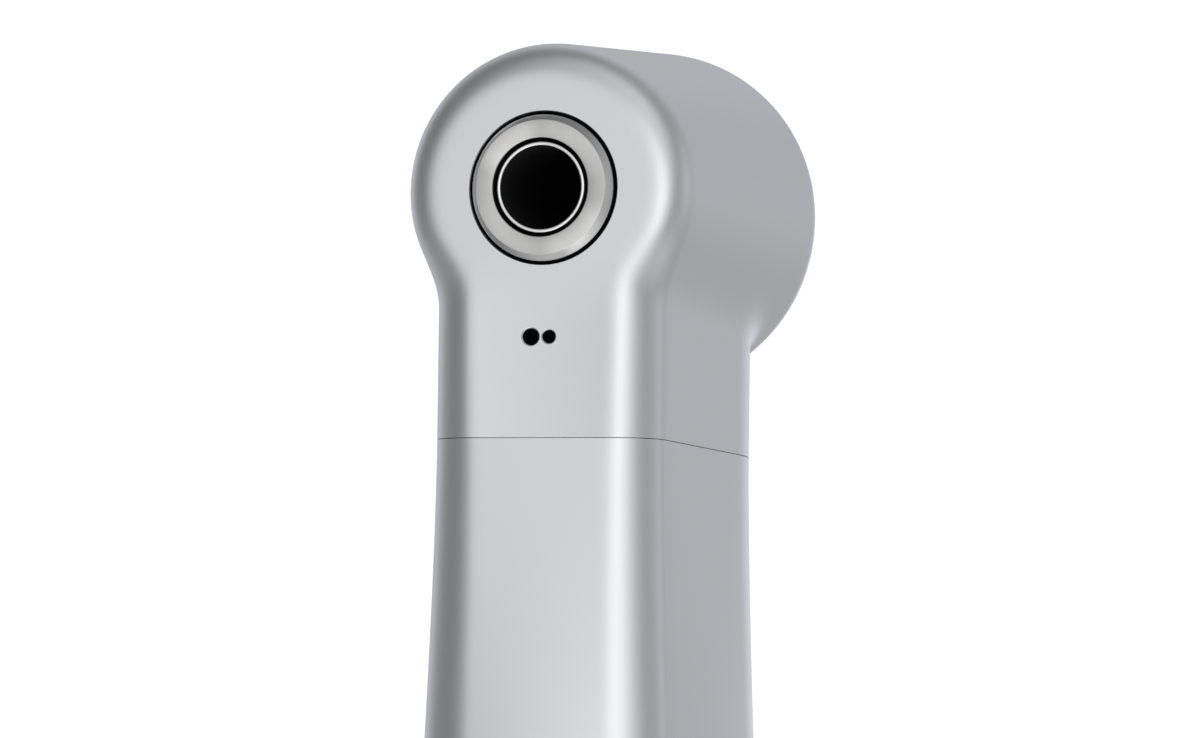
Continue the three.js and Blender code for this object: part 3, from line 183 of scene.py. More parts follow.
def slab(name, corners, low, high, place=upright, steps=6):
    # an outline with rounded corners, given a thickness along the place's Z
    outline = rounded(corners, steps)
    return loft(name, [[(x, y, height) for x, y in outline] for height in (low, high)], place)


def rectangle(halfWidth, low, high, corner=0):
    return [(-halfWidth, low, corner), (halfWidth, low, corner),
            (halfWidth, high, corner), (-halfWidth, high, corner)]


def carve(piece, operation, *tools):
    # cuts, joins or keeps what is common, and throws the tools away
    for tool in tools:
        modifier = piece.modifiers.new("carve", "BOOLEAN")
        modifier.operation = operation
        modifier.solver = "MANIFOLD"
        modifier.object = tool
        depsgraph = bpy.context.evaluated_depsgraph_get()
        made = bpy.data.meshes.new_from_object(piece.evaluated_get(depsgraph))
        piece.modifiers.clear()
        old = piece.data
        piece.data = made
        bpy.data.meshes.remove(old)
        bpy.data.meshes.remove(tool.data)
    return smooth(piece)


def netSkin(field, low, high, step, relaxing=6):
    # points and quads on the surface where field is zero
    axes = [np.arange(a, b + step, step) for a, b in zip(low, high)]
    grid = np.stack(np.meshgrid(*axes, indexing="ij"), -1)
    value = field(grid)
    cells = tuple(n - 1 for n in value.shape)
    total, crossings = np.zeros(cells + (3,)), np.zeros(cells)

    def shifted(array, offset):
        return array[tuple(slice(o, o + n) for o, n in zip(offset, cells))]

    for axis in range(3):
        for first in (0, 1):
            for second in (0, 1):
                start = np.insert([first, second], axis, 0)
                end = np.insert([first, second], axis, 1)
                a, b = shifted(value, start), shifted(value, end)
                isCrossed = (a < 0) != (b < 0)
                share = np.where(isCrossed, a / np.where(isCrossed, a - b, 1), 0)[..., None]
                spot = shifted(grid, start) * (1 - share) + shifted(grid, end) * share
                total += spot * isCrossed[..., None]
                crossings += isCrossed
    used = crossings > 0
    number = np.full(cells, -1)
    number[used] = np.arange(used.sum())
    points = total[used] / crossings[used][:, None]
    quads = []
    for axis in range(3):
        others = [k for k in range(3) if k != axis]
        inside = np.moveaxis(value < 0, [axis, *others], [0, 1, 2])
        cell = np.moveaxis(number, [axis, *others], [0, 1, 2])
        changed = (inside[:-1] != inside[1:])[:, 1:-1, 1:-1]
        i, j, k = np.nonzero(changed)
        corners = [cell[i, j, k], cell[i, j + 1, k], cell[i, j + 1, k + 1], cell[i, j, k + 1]]
        quads.append(np.stack(corners, 1))
    quads = np.concatenate(quads)
    for _ in range(relaxing):
        points = settle(field, relax(points, quads))
    return settle(field, points), quads


def relax(points, quads):
    # each point moves halfway to the middle of its neighbours
    total, count = np.zeros_like(points), np.zeros(len(points))
    for k in range(4):
        here, there = quads[:, k], quads[:, (k + 1) % 4]
        for a, b in ((here, there), (there, here)):
            np.add.at(total, a, points[b])
            np.add.at(count, a, 1)
    return (points + total / count[:, None]) / 2


def settle(field, points, reach=1e-3, steps=3):
    # moves points along the field's slope until they lie on its surface
    for _ in range(steps):
        value = field(points)
        slope = np.stack([field(points + reach * np.eye(3)[k]) - field(points - reach * np.eye(3)[k])
                          for k in range(3)], -1) / (2 * reach)
        points = points - (value / (slope ** 2).sum(-1))[:, None] * slope
    return points


def dress(piece, body, slot, finish, *replaced):
    # hands a finished piece to its body, with its finish and the nodes that it stands for
    piece.data.materials.clear()
    piece.data.materials.append(finish)
    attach(piece, body)
    if replaced:
        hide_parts(*replaced)
    return piece


def paintWhere(piece, place, finish, isThere):
    # a second finish on the faces whose middles pass a test in a local frame
    piece.data.materials.append(finish)
    index = len(piece.data.materials) - 1
    toLocal = place.inverted()
    for face in piece.data.polygons:
        if isThere(toLocal @ face.center):
            face.material_index = index


# Shader maths: a Wire is one socket, and arithmetic on it adds Math nodes

def plug(tree, value, socket):
    if isinstance(value, Wire):
        tree.links.new(value.socket, socket)
    else:
        socket.default_value = value


class Wire:
    def __init__(self, tree, socket):
        self.tree = tree
        self.socket = socket

    def maths(self, operation, *values):
        node = self.tree.nodes.new("ShaderNodeMath")
        node.operation = operation
        for value, socket in zip(values, node.inputs):
            plug(self.tree, value, socket)
        return Wire(self.tree, node.outputs[0])

    def __add__(self, other):
        return self.maths("ADD", self, other)

    def __radd__(self, other):
        return self.maths("ADD", other, self)

    def __sub__(self, other):
        return self.maths("SUBTRACT", self, other)

    def __rsub__(self, other):
        return self.maths("SUBTRACT", other, self)

    def __mul__(self, other):
        return self.maths("MULTIPLY", self, other)

    def __rmul__(self, other):
        return self.maths("MULTIPLY", other, self)

    def clamped(self):
        return self.maths("MINIMUM", self.maths("MAXIMUM", self, 0.0), 1.0)

    def sine(self):
        return self.maths("SINE", self)

    def exponential(self):
        return self.maths("EXPONENT", self)


class Nodes:
    def __init__(self, tree):
        self.tree = tree

    def add(self, kind, settings=(), values=(), output=0):
        node = self.tree.nodes.new("ShaderNode" + kind)
        for name, setting in dict(settings).items():
            setattr(node, name, setting)
        for name, value in dict(values).items():
            plug(self.tree, value, node.inputs[name])
        return Wire(self.tree, node.outputs[output])

    def noise(self, where, size, detail=2.0):
        # cloudy values from 0 to 1 whose spots are about size millimetres wide
        return self.add("TexNoise", {}, {"Vector": where, "Scale": 1 / (size * mm), "Detail": detail})

    def mixed(self, share, first, second):
        return self.add("Mix", {"data_type": "RGBA"}, {0: share, 6: first, 7: second}, output=2)


def shade(color, tone):
    return (*(min(1, channel * tone) for channel in color), 1)


def newFinish(name, look, place=None):
    # one procedural finish: soft mottling, fine grain and, on turned pieces, rings and painted highlights,
    # where the base colour is brighter in set directions round the axis
    material = bpy.data.materials.new(name)
    material.use_nodes = True
    nodes = Nodes(material.node_tree)
    shader = material.node_tree.nodes["Principled BSDF"]
    where = nodes.add("TexCoord", output=3)
    cloud = nodes.noise(where, look["mottleSize"], 3.0)
    grain = nodes.noise(where, look["grainSize"], 2.0)
    tone = look["mottleTone"]
    color = nodes.mixed(cloud, shade(look["color"], 1 - tone), shade(look["color"], 1 + tone))
    height = grain
    if place is not None and "ringPitch" in look:
        turn = place.to_3x3().normalized()
        fromAxis = nodes.add("VectorMath", {"operation": "SUBTRACT"}, {0: where, 1: place.translation})
        across = nodes.add("VectorMath", {"operation": "CROSS_PRODUCT"}, {0: fromAxis, 1: turn.col[2]})
        radius = nodes.add("VectorMath", {"operation": "LENGTH"}, {0: across}, output=1)
        wander = nodes.noise(where, look["mottleSize"], 2.0) * look["ringWander"]
        rings = (radius * (2 * math.pi / (look["ringPitch"] * mm)) + wander).sine()
        height = (rings + grain) * 0.5
        unit = nodes.add("VectorMath", {"operation": "NORMALIZE"}, {0: across})
        # painted highlight: the base colour turns brighter where the direction round the axis lies near each
        # listed way
        for degrees, start, gain, highlightTone in look.get("paintedHighlights", ()):
            way = turn @ Vector((math.cos(math.radians(degrees)), math.sin(math.radians(degrees)), 0))
            facing = nodes.add("VectorMath", {"operation": "DOT_PRODUCT"}, {0: unit, 1: way}, output=1)
            share = (facing * facing * 2.0 - 1.0 - start) * gain
            color = nodes.mixed(share.clamped(), color, shade(look["color"], highlightTone))
    bump = nodes.add("Bump", {}, {
        "Strength": look["grainStrength"],
        "Distance": look["grainDepth"] * mm,
        "Height": height,
    })
    roughness = look["roughness"] + (cloud - 0.5) * look["roughSpread"]
    for socket, value in (("Base Color", color), ("Normal", bump), ("Roughness", roughness)):
        plug(material.node_tree, value, shader.inputs[socket])
    shader.inputs["Metallic"].default_value = look.get("metallic", 0)
    for socket, value in look.get("constants", {}).items():
        shader.inputs[socket].default_value = value
    return material


def glowing(name, color, strength):
    material = newFinish(name, dict(plainLook, color=color, constants={"Emission Strength": strength}))
    shader = material.node_tree.nodes["Principled BSDF"]
    shader.inputs["Emission Color"].default_value = (*color, 1)
    return material


plainLook = dict(color=(0.5, 0.5, 0.5), roughness=0.5, roughSpread=0.1, mottleSize=6, mottleTone=0.02,
                 grainSize=0.12, grainStrength=0.3, grainDepth=0.01)
metalLook = dict(plainLook, metallic=1, roughness=0.3, grainSize=0.06, grainDepth=0.004, mottleTone=0.03,
                 ringWander=2.0)

satinSilver = newFinish("satin silver", dict(
    metalLook, color=(0.80, 0.806, 0.822), roughness=0.33, roughSpread=0.03, mottleSize=1.6, mottleTone=0.012,
    grainStrength=0.12))
ringLook = dict(
    metalLook, color=(0.56, 0.553, 0.54), roughness=0.3, ringPitch=0.06, grainStrength=0.12,
    # painted highlights: brighter base colour in sectors round the axis, standing in for the reflections of
    # turned metal; each gives its direction round the axis in degrees, where it starts, how sharply, how
    # bright
    paintedHighlights=((38, 0.0, 1.0, 1.2), (-38, 0.25, 2.0, 1.32)))
turnedNickel = newFinish("turned nickel", ringLook, chuckPlace)
# the ring's bevel: a darker copy of the ring's finish with its own painted highlights, painted shade and
# highlight for how light falls on the bevel
bevelShadeAndHighlight = newFinish("bevel painted shade and highlight", dict(
    ringLook, color=(0.52, 0.515, 0.505), paintedHighlights=((90, -0.2, 1.0, 1.6), (-46, 0.6, 3.0, 1.75))), chuckPlace)
turnedSilver = newFinish("turned silver", dict(
    metalLook, color=(0.78, 0.785, 0.80), roughness=0.27, ringPitch=0.09, grainStrength=0.3), chuckPlace)
turnedSleeve = newFinish("turned silver sleeve", dict(
    metalLook, color=(0.78, 0.785, 0.80), roughness=0.3, ringPitch=0.12, grainStrength=0.2), upright)
brightRim = newFinish("bright rim", dict(metalLook, color=(0.86, 0.86, 0.85), roughness=0.16))
groundSteel = newFinish("ground steel", dict(metalLook, color=(0.62, 0.63, 0.64), roughness=0.32))
springSteel = newFinish("spring steel", dict(metalLook, color=(0.52, 0.53, 0.55), roughness=0.28))
brass = newFinish("brass", dict(metalLook, color=(0.72, 0.55, 0.27), roughness=0.32, mottleTone=0.05))
goldPlate = newFinish("gold plated pad", dict(
    metalLook, color=(0.88, 0.68, 0.32), roughness=0.24, mottleTone=0.04))
copper = newFinish("enamelled copper", dict(
    metalLook, color=(0.66, 0.34, 0.19), roughness=0.38, grainSize=0.3))
whitePlastic = newFinish("white plastic", dict(
    plainLook, color=(0.80, 0.81, 0.82), roughness=0.36, roughSpread=0.05, mottleSize=20,
    mottleTone=0.008, grainStrength=0.12, constants={"Coat Weight": 0.15, "Coat Roughness": 0.25}))
greyPlastic = newFinish("grey plastic", dict(
    plainLook, color=(0.26, 0.28, 0.31), roughness=0.5, grainSize=0.2, grainDepth=0.02))
blackPlastic = newFinish("black plastic", dict(plainLook, color=(0.02, 0.021, 0.024), roughness=0.45))
# near-black painted shade for the insides of bores, holes and gaps, where shade falls
paintedShadeBlack = newFinish("painted bore shade", dict(plainLook, color=(0.006, 0.006, 0.007), roughness=0.7))
darkWindow = newFinish("tinted window", dict(
    plainLook, color=(0.008, 0.010, 0.014), roughness=0.08, roughSpread=0.02, grainStrength=0.02,
    constants={"Alpha": 0.55, "Coat Weight": 1.0, "Coat Roughness": 0.03}))
rubber = newFinish("black rubber", dict(plainLook, color=(0.016, 0.016, 0.017), roughness=0.8))
solderMask = newFinish("solder mask", dict(
    plainLook, color=(0.02, 0.12, 0.05), roughness=0.35, mottleTone=0.1))
magnet = newFinish("sintered magnet", dict(metalLook, color=(0.09, 0.09, 0.10), roughness=0.6, grainSize=0.2))
cellWrap = newFinish("cell wrap", dict(plainLook, color=(0.05, 0.16, 0.38), roughness=0.25, mottleTone=0.03))
displayDark = newFinish("display face", dict(plainLook, color=(0.01, 0.012, 0.016), roughness=0.3))
litDigit = glowing("lit digit", (0.75, 0.92, 1.0), 2.2)
dimDigit = glowing("dim digit", (0.30, 0.70, 0.85), 1.1)
paleMark = newFinish("pale mark", dict(plainLook, color=(0.82, 0.83, 0.84), roughness=0.5))
print("finishes made")


# Head housing: a cone with a flat face that runs into the neck, as one smooth skin

head = dict(
    frontRadius=4.23, backRadius=5.083, frontRound=1.0, backRound=1.18,
    faceInset=1.1, facePower=2.7,  # the front edge's rounding starts slowly on the face
    blend=0.55,  # softness of the inner corner between head and neck
    dent=0.05, dentHalfWidth=2.2, dentStart=1.5, dentEnd=4.0,  # the lower face is a little hollow
    skinStep=0.17, cutReach=1e-6,
)
neck = dict(
    halfWidth=3.32, draft=0.06, backInset=1.15, backDepth=2.9, seamGap=0.02, seamTilt=0.018,
    faceInset=1.31, insetGrowth=0.03,  # the rounding widens down the neck
    edgeDepth=1.1, flare=2.0, flarePower=1.6, bendRadius=36, bendShare=0.55,
    seamFade=8, topBand=0.02, tailWall=0.6, tailRoom=0.3,
)
headLow, headHigh = boundsIn(headPlace, "head_housing")
headDepth = headHigh.y
sheathTop = boundsIn(headPlace, "neck_sheath")[1].z
neckRing = boundsIn(headPlace, "neck_sheath", sheathTop - neck["topBand"])  # of the sheath's uppermost points
bendLocal = headPlace.inverted() @ neckPlace.translation
shaftDepth, neckLength = bendLocal.y, -bendLocal.z
neckBack = neckRing[1].y
print("head", [round(v, 3) for v in (*headLow, *headHigh)], "neck back", round(neckBack, 3))


def cornered(first, second, radius):
    # the rounded corner where two distances meet
    a, b = first + radius, second + radius
    return np.minimum(np.maximum(a, b), 0) + np.hypot(np.maximum(a, 0), np.maximum(b, 0)) - radius


def ovalCornered(first, second, inset, depth, power):
    # the same with an oval corner, divided by its slope to stay close to a distance
    a, b = first / inset + 1, second / depth + 1
    along, across = np.maximum(a, 0), np.maximum(b, 0)
    arc = (along ** power + across ** power) ** (1 / power)
    isInside = arc < 1e-9
    safe = np.where(isInside, 1, arc)
    slope = np.hypot((along / safe) ** (power - 1) / inset, (across / safe) ** (power - 1) / depth)
    slope = np.where(isInside, 1 / np.minimum(inset, depth), slope)
    return (np.minimum(np.maximum(a, b), 0) + arc - 1) / slope


def blended(first, second, softness):
    share = np.maximum(softness - np.abs(first - second), 0) / softness
    return np.minimum(first, second) - share ** 2 * softness / 4


def eased(value, start, end):
    share = np.clip((value - start) / (end - start), 0, 1)
    return share ** 2 * (3 - 2 * share)


def insetAt(height):
    # how far the rounding of the front edge reaches in across the face
    below = np.maximum(-neck["halfWidth"] - height, 0)
    onNeck = neck["faceInset"] + neck["insetGrowth"] * below
    share = eased(-height, head["frontRound"], neck["halfWidth"])
    return head["faceInset"] * (1 - share) + onNeck * share


def headField(points):
    # below zero inside: a cone with a rounded face, which runs softly into the neck's stub
    x, y, z = points[..., 0], points[..., 1], points[..., 2]
    slope = (head["backRadius"] - head["frontRadius"]) / (headDepth - head["frontRound"] - head["backRound"])
    cone = np.hypot(x, z) - head["frontRadius"] - slope * (y - head["frontRound"])
    cone = cone * math.cos(math.atan(slope))
    side = np.abs(x) - neck["halfWidth"] - neck["draft"] * y
    stub = np.maximum(ovalCornered(side, y - neckBack, neck["backInset"], neck["backDepth"], 2), z)
    body = blended(cone, stub, head["blend"])
    share = eased(-z, head["frontRound"], neck["halfWidth"])
    depth = head["frontRound"] * (1 - share) + neck["edgeDepth"] * share
    power = head["facePower"] * (1 - share) + 2 * share
    hollow = np.maximum(1 - (x / head["dentHalfWidth"]) ** 2, 0)
    hollow = hollow * eased(-z, head["dentStart"], head["dentEnd"])
    body = ovalCornered(body, head["dent"] * hollow - y, insetAt(z), depth, power)
    return cornered(body, y - headDepth, head["backRound"])


def headHousing():
    # the skin is cut off along the seam and closed there
    margin = 3 * head["skinStep"]
    reach = head["backRadius"] + margin
    stubEnd = sheathTop + neck["seamGap"]
    low, high = (-reach, -margin, stubEnd - margin), (reach, headDepth + margin, reach)
    skinPoints, quads = netSkin(headField, low, high, head["skinStep"])
    fromSeam = skinPoints[:, 2] - stubEnd + neck["seamTilt"] * skinPoints[:, 1]
    keptQuads = quads[(fromSeam[quads] > -2 * head["skinStep"]).all(1)]
    shell = addMesh("head_shell", skinPoints, keptQuads, headPlace)
    work = bmesh.new()
    work.from_mesh(shell.data)
    cut = bmesh.ops.bisect_plane(
        work, geom=[*work.verts, *work.edges, *work.faces], dist=head["cutReach"] * mm,
        plane_co=headPlace @ Vector((0, 0, stubEnd)), plane_no=-(neckAxis + neck["seamTilt"] * chuckAxis),
        clear_outer=True)
    rim = [item for item in cut["geom_cut"] if isinstance(item, bmesh.types.BMEdge)]
    bmesh.ops.contextual_create(work, geom=rim)
    bmesh.ops.recalc_face_normals(work, faces=work.faces)
    work.to_mesh(shell.data)
    work.free()
    return shell


guard = dict(inner=1.41, outer=2.09, gap=0.09, bevel=0.165, bevelDepth=0.26, rim=0.03, flange=0.4,
             frontWall=0.9)
holes = dict(x=(-0.328, 0.207), z=-4.229, radius=(0.245, 0.195), depth=1.4, lip=0.03)
# where painted shade turns the head's bores and holes, and the walls in the guard ring's gap, near black
dark = dict(boreRadius=3.9, front=0.03, back=0.05, bottom=0.1, touch=0.01, wall=0.02)


def headBores():
    # the tube that reaches down into the sheath, and the shapes of all that is bored out
    raceBack = boundsIn(headPlace, "rear_bearing_outer_race")
    button = boundsIn(headPlace, "chuck_release_button")
    retainer = boundsIn(headPlace, "button_retainer_ring")
    bush = boundsIn(headPlace, "neck_bush_upper")
    opening = guard["outer"] + guard["gap"]
    bore = raceBack[1].x + seatGap
    buttonBore = button[1].x + 2 * seatGap
    ledge = raceBack[1].y + seatGap
    lip = guard["rim"]
    steps = lathe("steps", [
        (0, -overrun), (opening + lip + overrun, -overrun), (opening, lip), (opening, guard["frontWall"]),
        (bore, guard["frontWall"]), (bore, ledge), (buttonBore, ledge), (buttonBore, retainer[0].y),
        (retainer[1].x + seatGap, retainer[0].y),
        (retainer[1].x + seatGap, headDepth + overrun), (0, headDepth + overrun)], chuckPlace, segments=128)
    channelPlace = headPlace @ Matrix.Translation((0, shaftDepth, 0))
    channelRadius = bush[1].x + seatGap
    channel = lathe("channel", disk(channelRadius, headLow.z - overrun, -bore / 2), channelPlace)
    tail = lathe("tail", disk(channelRadius + neck["tailWall"], headLow.z, sheathTop + overrun), channelPlace)
    drills = []
    for x, radius in zip(holes["x"], holes["radius"]):
        spot = chuckPlace @ Matrix.Translation((x, -holes["z"], head["dent"]))
        lip = holes["lip"]
        drills.append(lathe("drill", [
            (0, -overrun), (radius + lip + overrun, -overrun), (radius, lip), (radius, holes["depth"]),
            (0, holes["depth"])], spot, segments=32))
    return tail, [steps, channel, *drills]


headShell = headHousing()
tail, boreTools = headBores()
carve(headShell, "UNION", tail)
carve(headShell, "DIFFERENCE", *boreTools)
dress(headShell, "contra_angle", "satin_silver", satinSilver, "head_housing")


def isInBore(point):
    fromChuck = math.hypot(point.x, point.z)
    isBored = (fromChuck < guard["outer"] + guard["gap"] + dark["touch"]
               or point.y > guard["frontWall"] and fromChuck < dark["boreRadius"])
    isDrilled = point.y < holes["depth"] + dark["bottom"] and any(
        math.hypot(point.x - x, point.z - holes["z"]) < radius + dark["touch"]
        for x, radius in zip(holes["x"], holes["radius"]))
    isInside = head["dent"] + guard["rim"] + dark["front"] < point.y < headDepth - dark["back"]
    return isInside and (isBored or isDrilled)


# painted shade: the faces inside the bores and holes turn near black
paintWhere(headShell, headPlace, paintedShadeBlack, isInBore)
print("head housing made:", len(headShell.data.polygons), "faces")


# Neck sheath: from the seam down round the bend, its outline turning from a rounded box to a circle

sheath = dict(straightSteps=44, bendSteps=26, arcSteps=18, flatSteps=8)


def neckOutline(halfWidth, front, back, inset):
    # points of one ring about the shaft's axis, from the middle of the front, all the way round
    depth, draft, backDepth = neck["edgeDepth"], neck["draft"], neck["backDepth"]
    right = []
    flat = halfWidth - inset
    for k in range(sheath["flatSteps"]):
        right.append((flat * k / sheath["flatSteps"], 0))
    for k in range(sheath["arcSteps"] + 1):
        turn = math.pi / 2 * k / sheath["arcSteps"]
        y = depth * (1 - math.cos(turn))
        right.append((halfWidth + draft * y - inset * (1 - math.sin(turn)), y))
    total = front + back
    for k in range(1, sheath["flatSteps"]):
        y = depth + (total - backDepth - depth) * k / sheath["flatSteps"]
        right.append((halfWidth + draft * y, y))
    for k in range(sheath["arcSteps"] + 1):
        turn = math.pi / 2 * k / sheath["arcSteps"]
        y = total - backDepth * (1 - math.sin(turn))
        right.append((halfWidth + draft * y - neck["backInset"] * (1 - math.cos(turn)), y))
    corner = right[-1][0]
    for k in range(1, sheath["flatSteps"]):
        right.append((corner * (1 - k / sheath["flatSteps"]), total))
    right.append((0, total))
    outline = right + [(-x, y) for x, y in reversed(right[1:-1])]
    return [(x, y - front) for x, y in outline]


def sheathRing(roundness, halfWidth, inset, place, endRadius):
    # an outline between the rounded box at roundness 0 and the circle at roundness 1
    front = shaftDepth + (endRadius - shaftDepth) * roundness
    back = (neckBack - shaftDepth) * (1 - roundness) + endRadius * roundness
    middle, half = (back - front) / 2, (back + front) / 2
    widest = halfWidth + neck["draft"] * (front + back - neck["backDepth"]) * (1 - roundness)
    ring = []
    for x, y in neckOutline(halfWidth, front, back, inset):
        angle = math.atan2((y - middle) / half, x / widest)
        oval = (widest * math.cos(angle), middle + half * math.sin(angle))
        ring.append(place @ Vector((x + (oval[0] - x) * roundness, y + (oval[1] - y) * roundness, 0)))
    return ring


def neckSheath():
    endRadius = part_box("neck_sheath")[1].x / mm
    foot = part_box("rear_sleeve")[1].z / mm + seatGap
    bendHeight = neckPlace.translation.z / mm
    reach = neck["bendRadius"] * math.tan(bendAngle / 2)
    seam = neckLength + sheathTop
    rings = []

    def widthAt(height):
        drop = min(max((seam - height) / seam, 0), 1)
        return neck["halfWidth"] + neck["flare"] * drop ** neck["flarePower"]

    leaning = Matrix.Translation((0, 0, bendHeight)) @ Matrix.Rotation(-bendAngle, 4, "X")

    def tilted(height, tilt):
        # a plane across the neck that hangs lower at the back
        drop = height - tilt * shaftDepth
        return leaning @ Matrix.Translation((0, 0, drop)) @ Matrix.Rotation(-math.atan(tilt), 4, "X")

    for k in range(sheath["straightSteps"]):
        share = k / sheath["straightSteps"]
        height = seam + (reach - seam) * share
        roundness = neck["bendShare"] * share ** neck["flarePower"]
        inset = insetAt(height - neckLength)
        tilt = neck["seamTilt"] * (1 - share) ** neck["seamFade"]
        rings.append(sheathRing(roundness, widthAt(height), inset, tilted(height, tilt), endRadius))
    for k in range(sheath["bendSteps"] + 1):
        share = 1 - k / sheath["bendSteps"]
        turn = bendAngle * share
        sideways = neck["bendRadius"] * (1 - math.cos(turn))
        up = neck["bendRadius"] * math.sin(turn) - reach + bendHeight
        place = Matrix.Translation((0, sideways, up)) @ Matrix.Rotation(-turn, 4, "X")
        width = endRadius + (widthAt(reach) - endRadius) * share
        roundness = 1 + (neck["bendShare"] - 1) * share
        rings.append(sheathRing(roundness, width, insetAt(reach - neckLength), place, endRadius))
    rings.append([Vector((p.x, p.y, foot)) for p in rings[-1]])
    # the bore: back up inside, a little wider than the shafts and the head's tail
    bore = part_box("drive_shaft_bush")[1].x / mm + seatGap
    tailRadius = boundsIn(headPlace, "neck_bush_upper")[1].x + 2 * seatGap + neck["tailWall"]
    count = len(rings[0])

    def boreRing(radius, place):
        ring = []
        for x, y, _ in [leaning.inverted() @ Vector(p) for p in rings[0]]:
            angle = math.atan2(y, x)
            ring.append(place @ Vector((radius * math.cos(angle), radius * math.sin(angle), 0)))
        return ring

    seatEnd = headLow.z + neckLength - neck["tailRoom"]
    inner = [boreRing(bore, Matrix.Translation((0, 0, foot))),
             boreRing(bore, Matrix.Translation((0, 0, bendHeight - reach)))]
    for height, radius in ((reach, bore), (seatEnd, bore), (seatEnd, tailRadius)):
        inner.append(boreRing(radius, tilted(height, 0)))
    inner.append(boreRing(tailRadius, tilted(seam, neck["seamTilt"])))
    print("sheath rings", len(rings), "of", count)
    return loft("neck_shell", rings + inner, isLoop=True)


neckShell = neckSheath()
dress(neckShell, "contra_angle", "satin_silver", satinSilver, "neck_sheath")
print("neck sheath made")


# Guard ring, spindle nose, and the push button with its ring

guardLow, guardHigh = boundsIn(headPlace, "chuck_guard_ring")
spindleLow, spindleHigh = boundsIn(headPlace, "chuck_spindle")
buttonLow, buttonHigh = boundsIn(headPlace, "chuck_release_button")
retainerLow, retainerHigh = boundsIn(headPlace, "button_retainer_ring")


def guardRing():
    front, rim = guardLow.y, guard["rim"]
    flangeFront = guardHigh.y - guard["flange"]
    bevelStart, bevelBack = guard["outer"] - guard["bevel"], front + guard["bevelDepth"]
    ring = lathe("guard_ring", [
        (guard["inner"], front, rim), (bevelStart, front, rim), (guard["outer"], bevelBack, rim),
        (guard["outer"], flangeFront), (guardHigh.x, flangeFront), (guardHigh.x, guardHigh.y),
        (guard["inner"], guardHigh.y)], chuckPlace, segments=160, steps=4)
    dress(ring, "contra_angle", "nickel", turnedNickel, "chuck_guard_ring")
    # painted shade and highlight on the bevel
    paintWhere(ring, chuckPlace, bevelShadeAndHighlight, lambda p: math.hypot(p.x, p.y) > bevelStart)
    # painted shade: the walls inside the gap turn near black
    paintWhere(ring, chuckPlace, paintedShadeBlack, lambda p: p.z > bevelBack + dark["wall"])
    return ring


spindle = dict(bore=1.19, noseWall=0.115, wall=0.31, edge=0.045, brightDepth=0.12)


def chuckSpindle():
    front, bore = spindleLow.y, spindle["bore"]
    nose = bore + spindle["noseWall"]
    step = guardHigh.y + seatGap
    sleeve = lathe("chuck_sleeve", [
        (bore, front, spindle["edge"]), (nose, front, spindle["edge"]), (nose, step),
        (bore + spindle["wall"], step), (bore + spindle["wall"], spindleHigh.y), (bore, spindleHigh.y)],
        chuckPlace, segments=128, steps=4)
    dress(sleeve, "chuck", "steel", brightRim, "chuck_spindle")
    # painted shade: the bore turns near black beyond the bright rim
    paintWhere(sleeve, chuckPlace, paintedShadeBlack, lambda p: p.z > front + spindle["brightDepth"])
    return sleeve


buttonShape = dict(radius=3.05, ringGap=0.1, edge=0.3, dish=0.22, dishShare=0.86, dishSteps=12,
                   skirt=0.3, pocket=0.85, boss=1.9)


def releaseButton():
    radius = buttonShape["radius"]
    back, front = buttonHigh.y, buttonLow.y
    skirtBack = retainerLow.y - seatGap
    pocket = front + buttonShape["pocket"]
    dish = dished(radius * buttonShape["dishShare"], back, buttonShape["dish"], buttonShape["dishSteps"])
    cap = lathe("release_button", [
        (0, front), (buttonShape["boss"], front), (buttonShape["boss"], pocket),
        (radius - buttonShape["skirt"], pocket), (radius - buttonShape["skirt"], front),
        (buttonHigh.x, front), (buttonHigh.x, skirtBack), (radius, skirtBack),
        (radius, back, buttonShape["edge"]), *dish], chuckPlace, segments=128)
    return dress(cap, "chuck_button", "satin_silver", turnedSilver, "chuck_release_button")


def retainerRing():
    inner = buttonShape["radius"] + buttonShape["ringGap"]
    ring = lathe("button_ring", tube(inner, retainerHigh.x, retainerLow.y, retainerHigh.y, guard["rim"]),
                 chuckPlace, segments=128, steps=3)
    return dress(ring, "contra_angle", "satin_silver", turnedSilver, "button_retainer_ring")


guardRing()
chuckSpindle()
releaseButton()
retainerRing()
print("chuck and button made")


# Rear sleeve and collar

sleeve = dict(topRadius=6.492, grooves=3, grooveDepth=0.3, grooveWidth=0.9, edge=0.12, steps=12)
collar = dict(bulge=0.35, footEdge=0.25, topEdge=0.2, steps=12)
sleeveLow, sleeveHigh = (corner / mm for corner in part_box("rear_sleeve"))
collarLow, collarHigh = (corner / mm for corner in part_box("collar_ring"))
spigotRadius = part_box("o_ring_upper")[1].x / mm


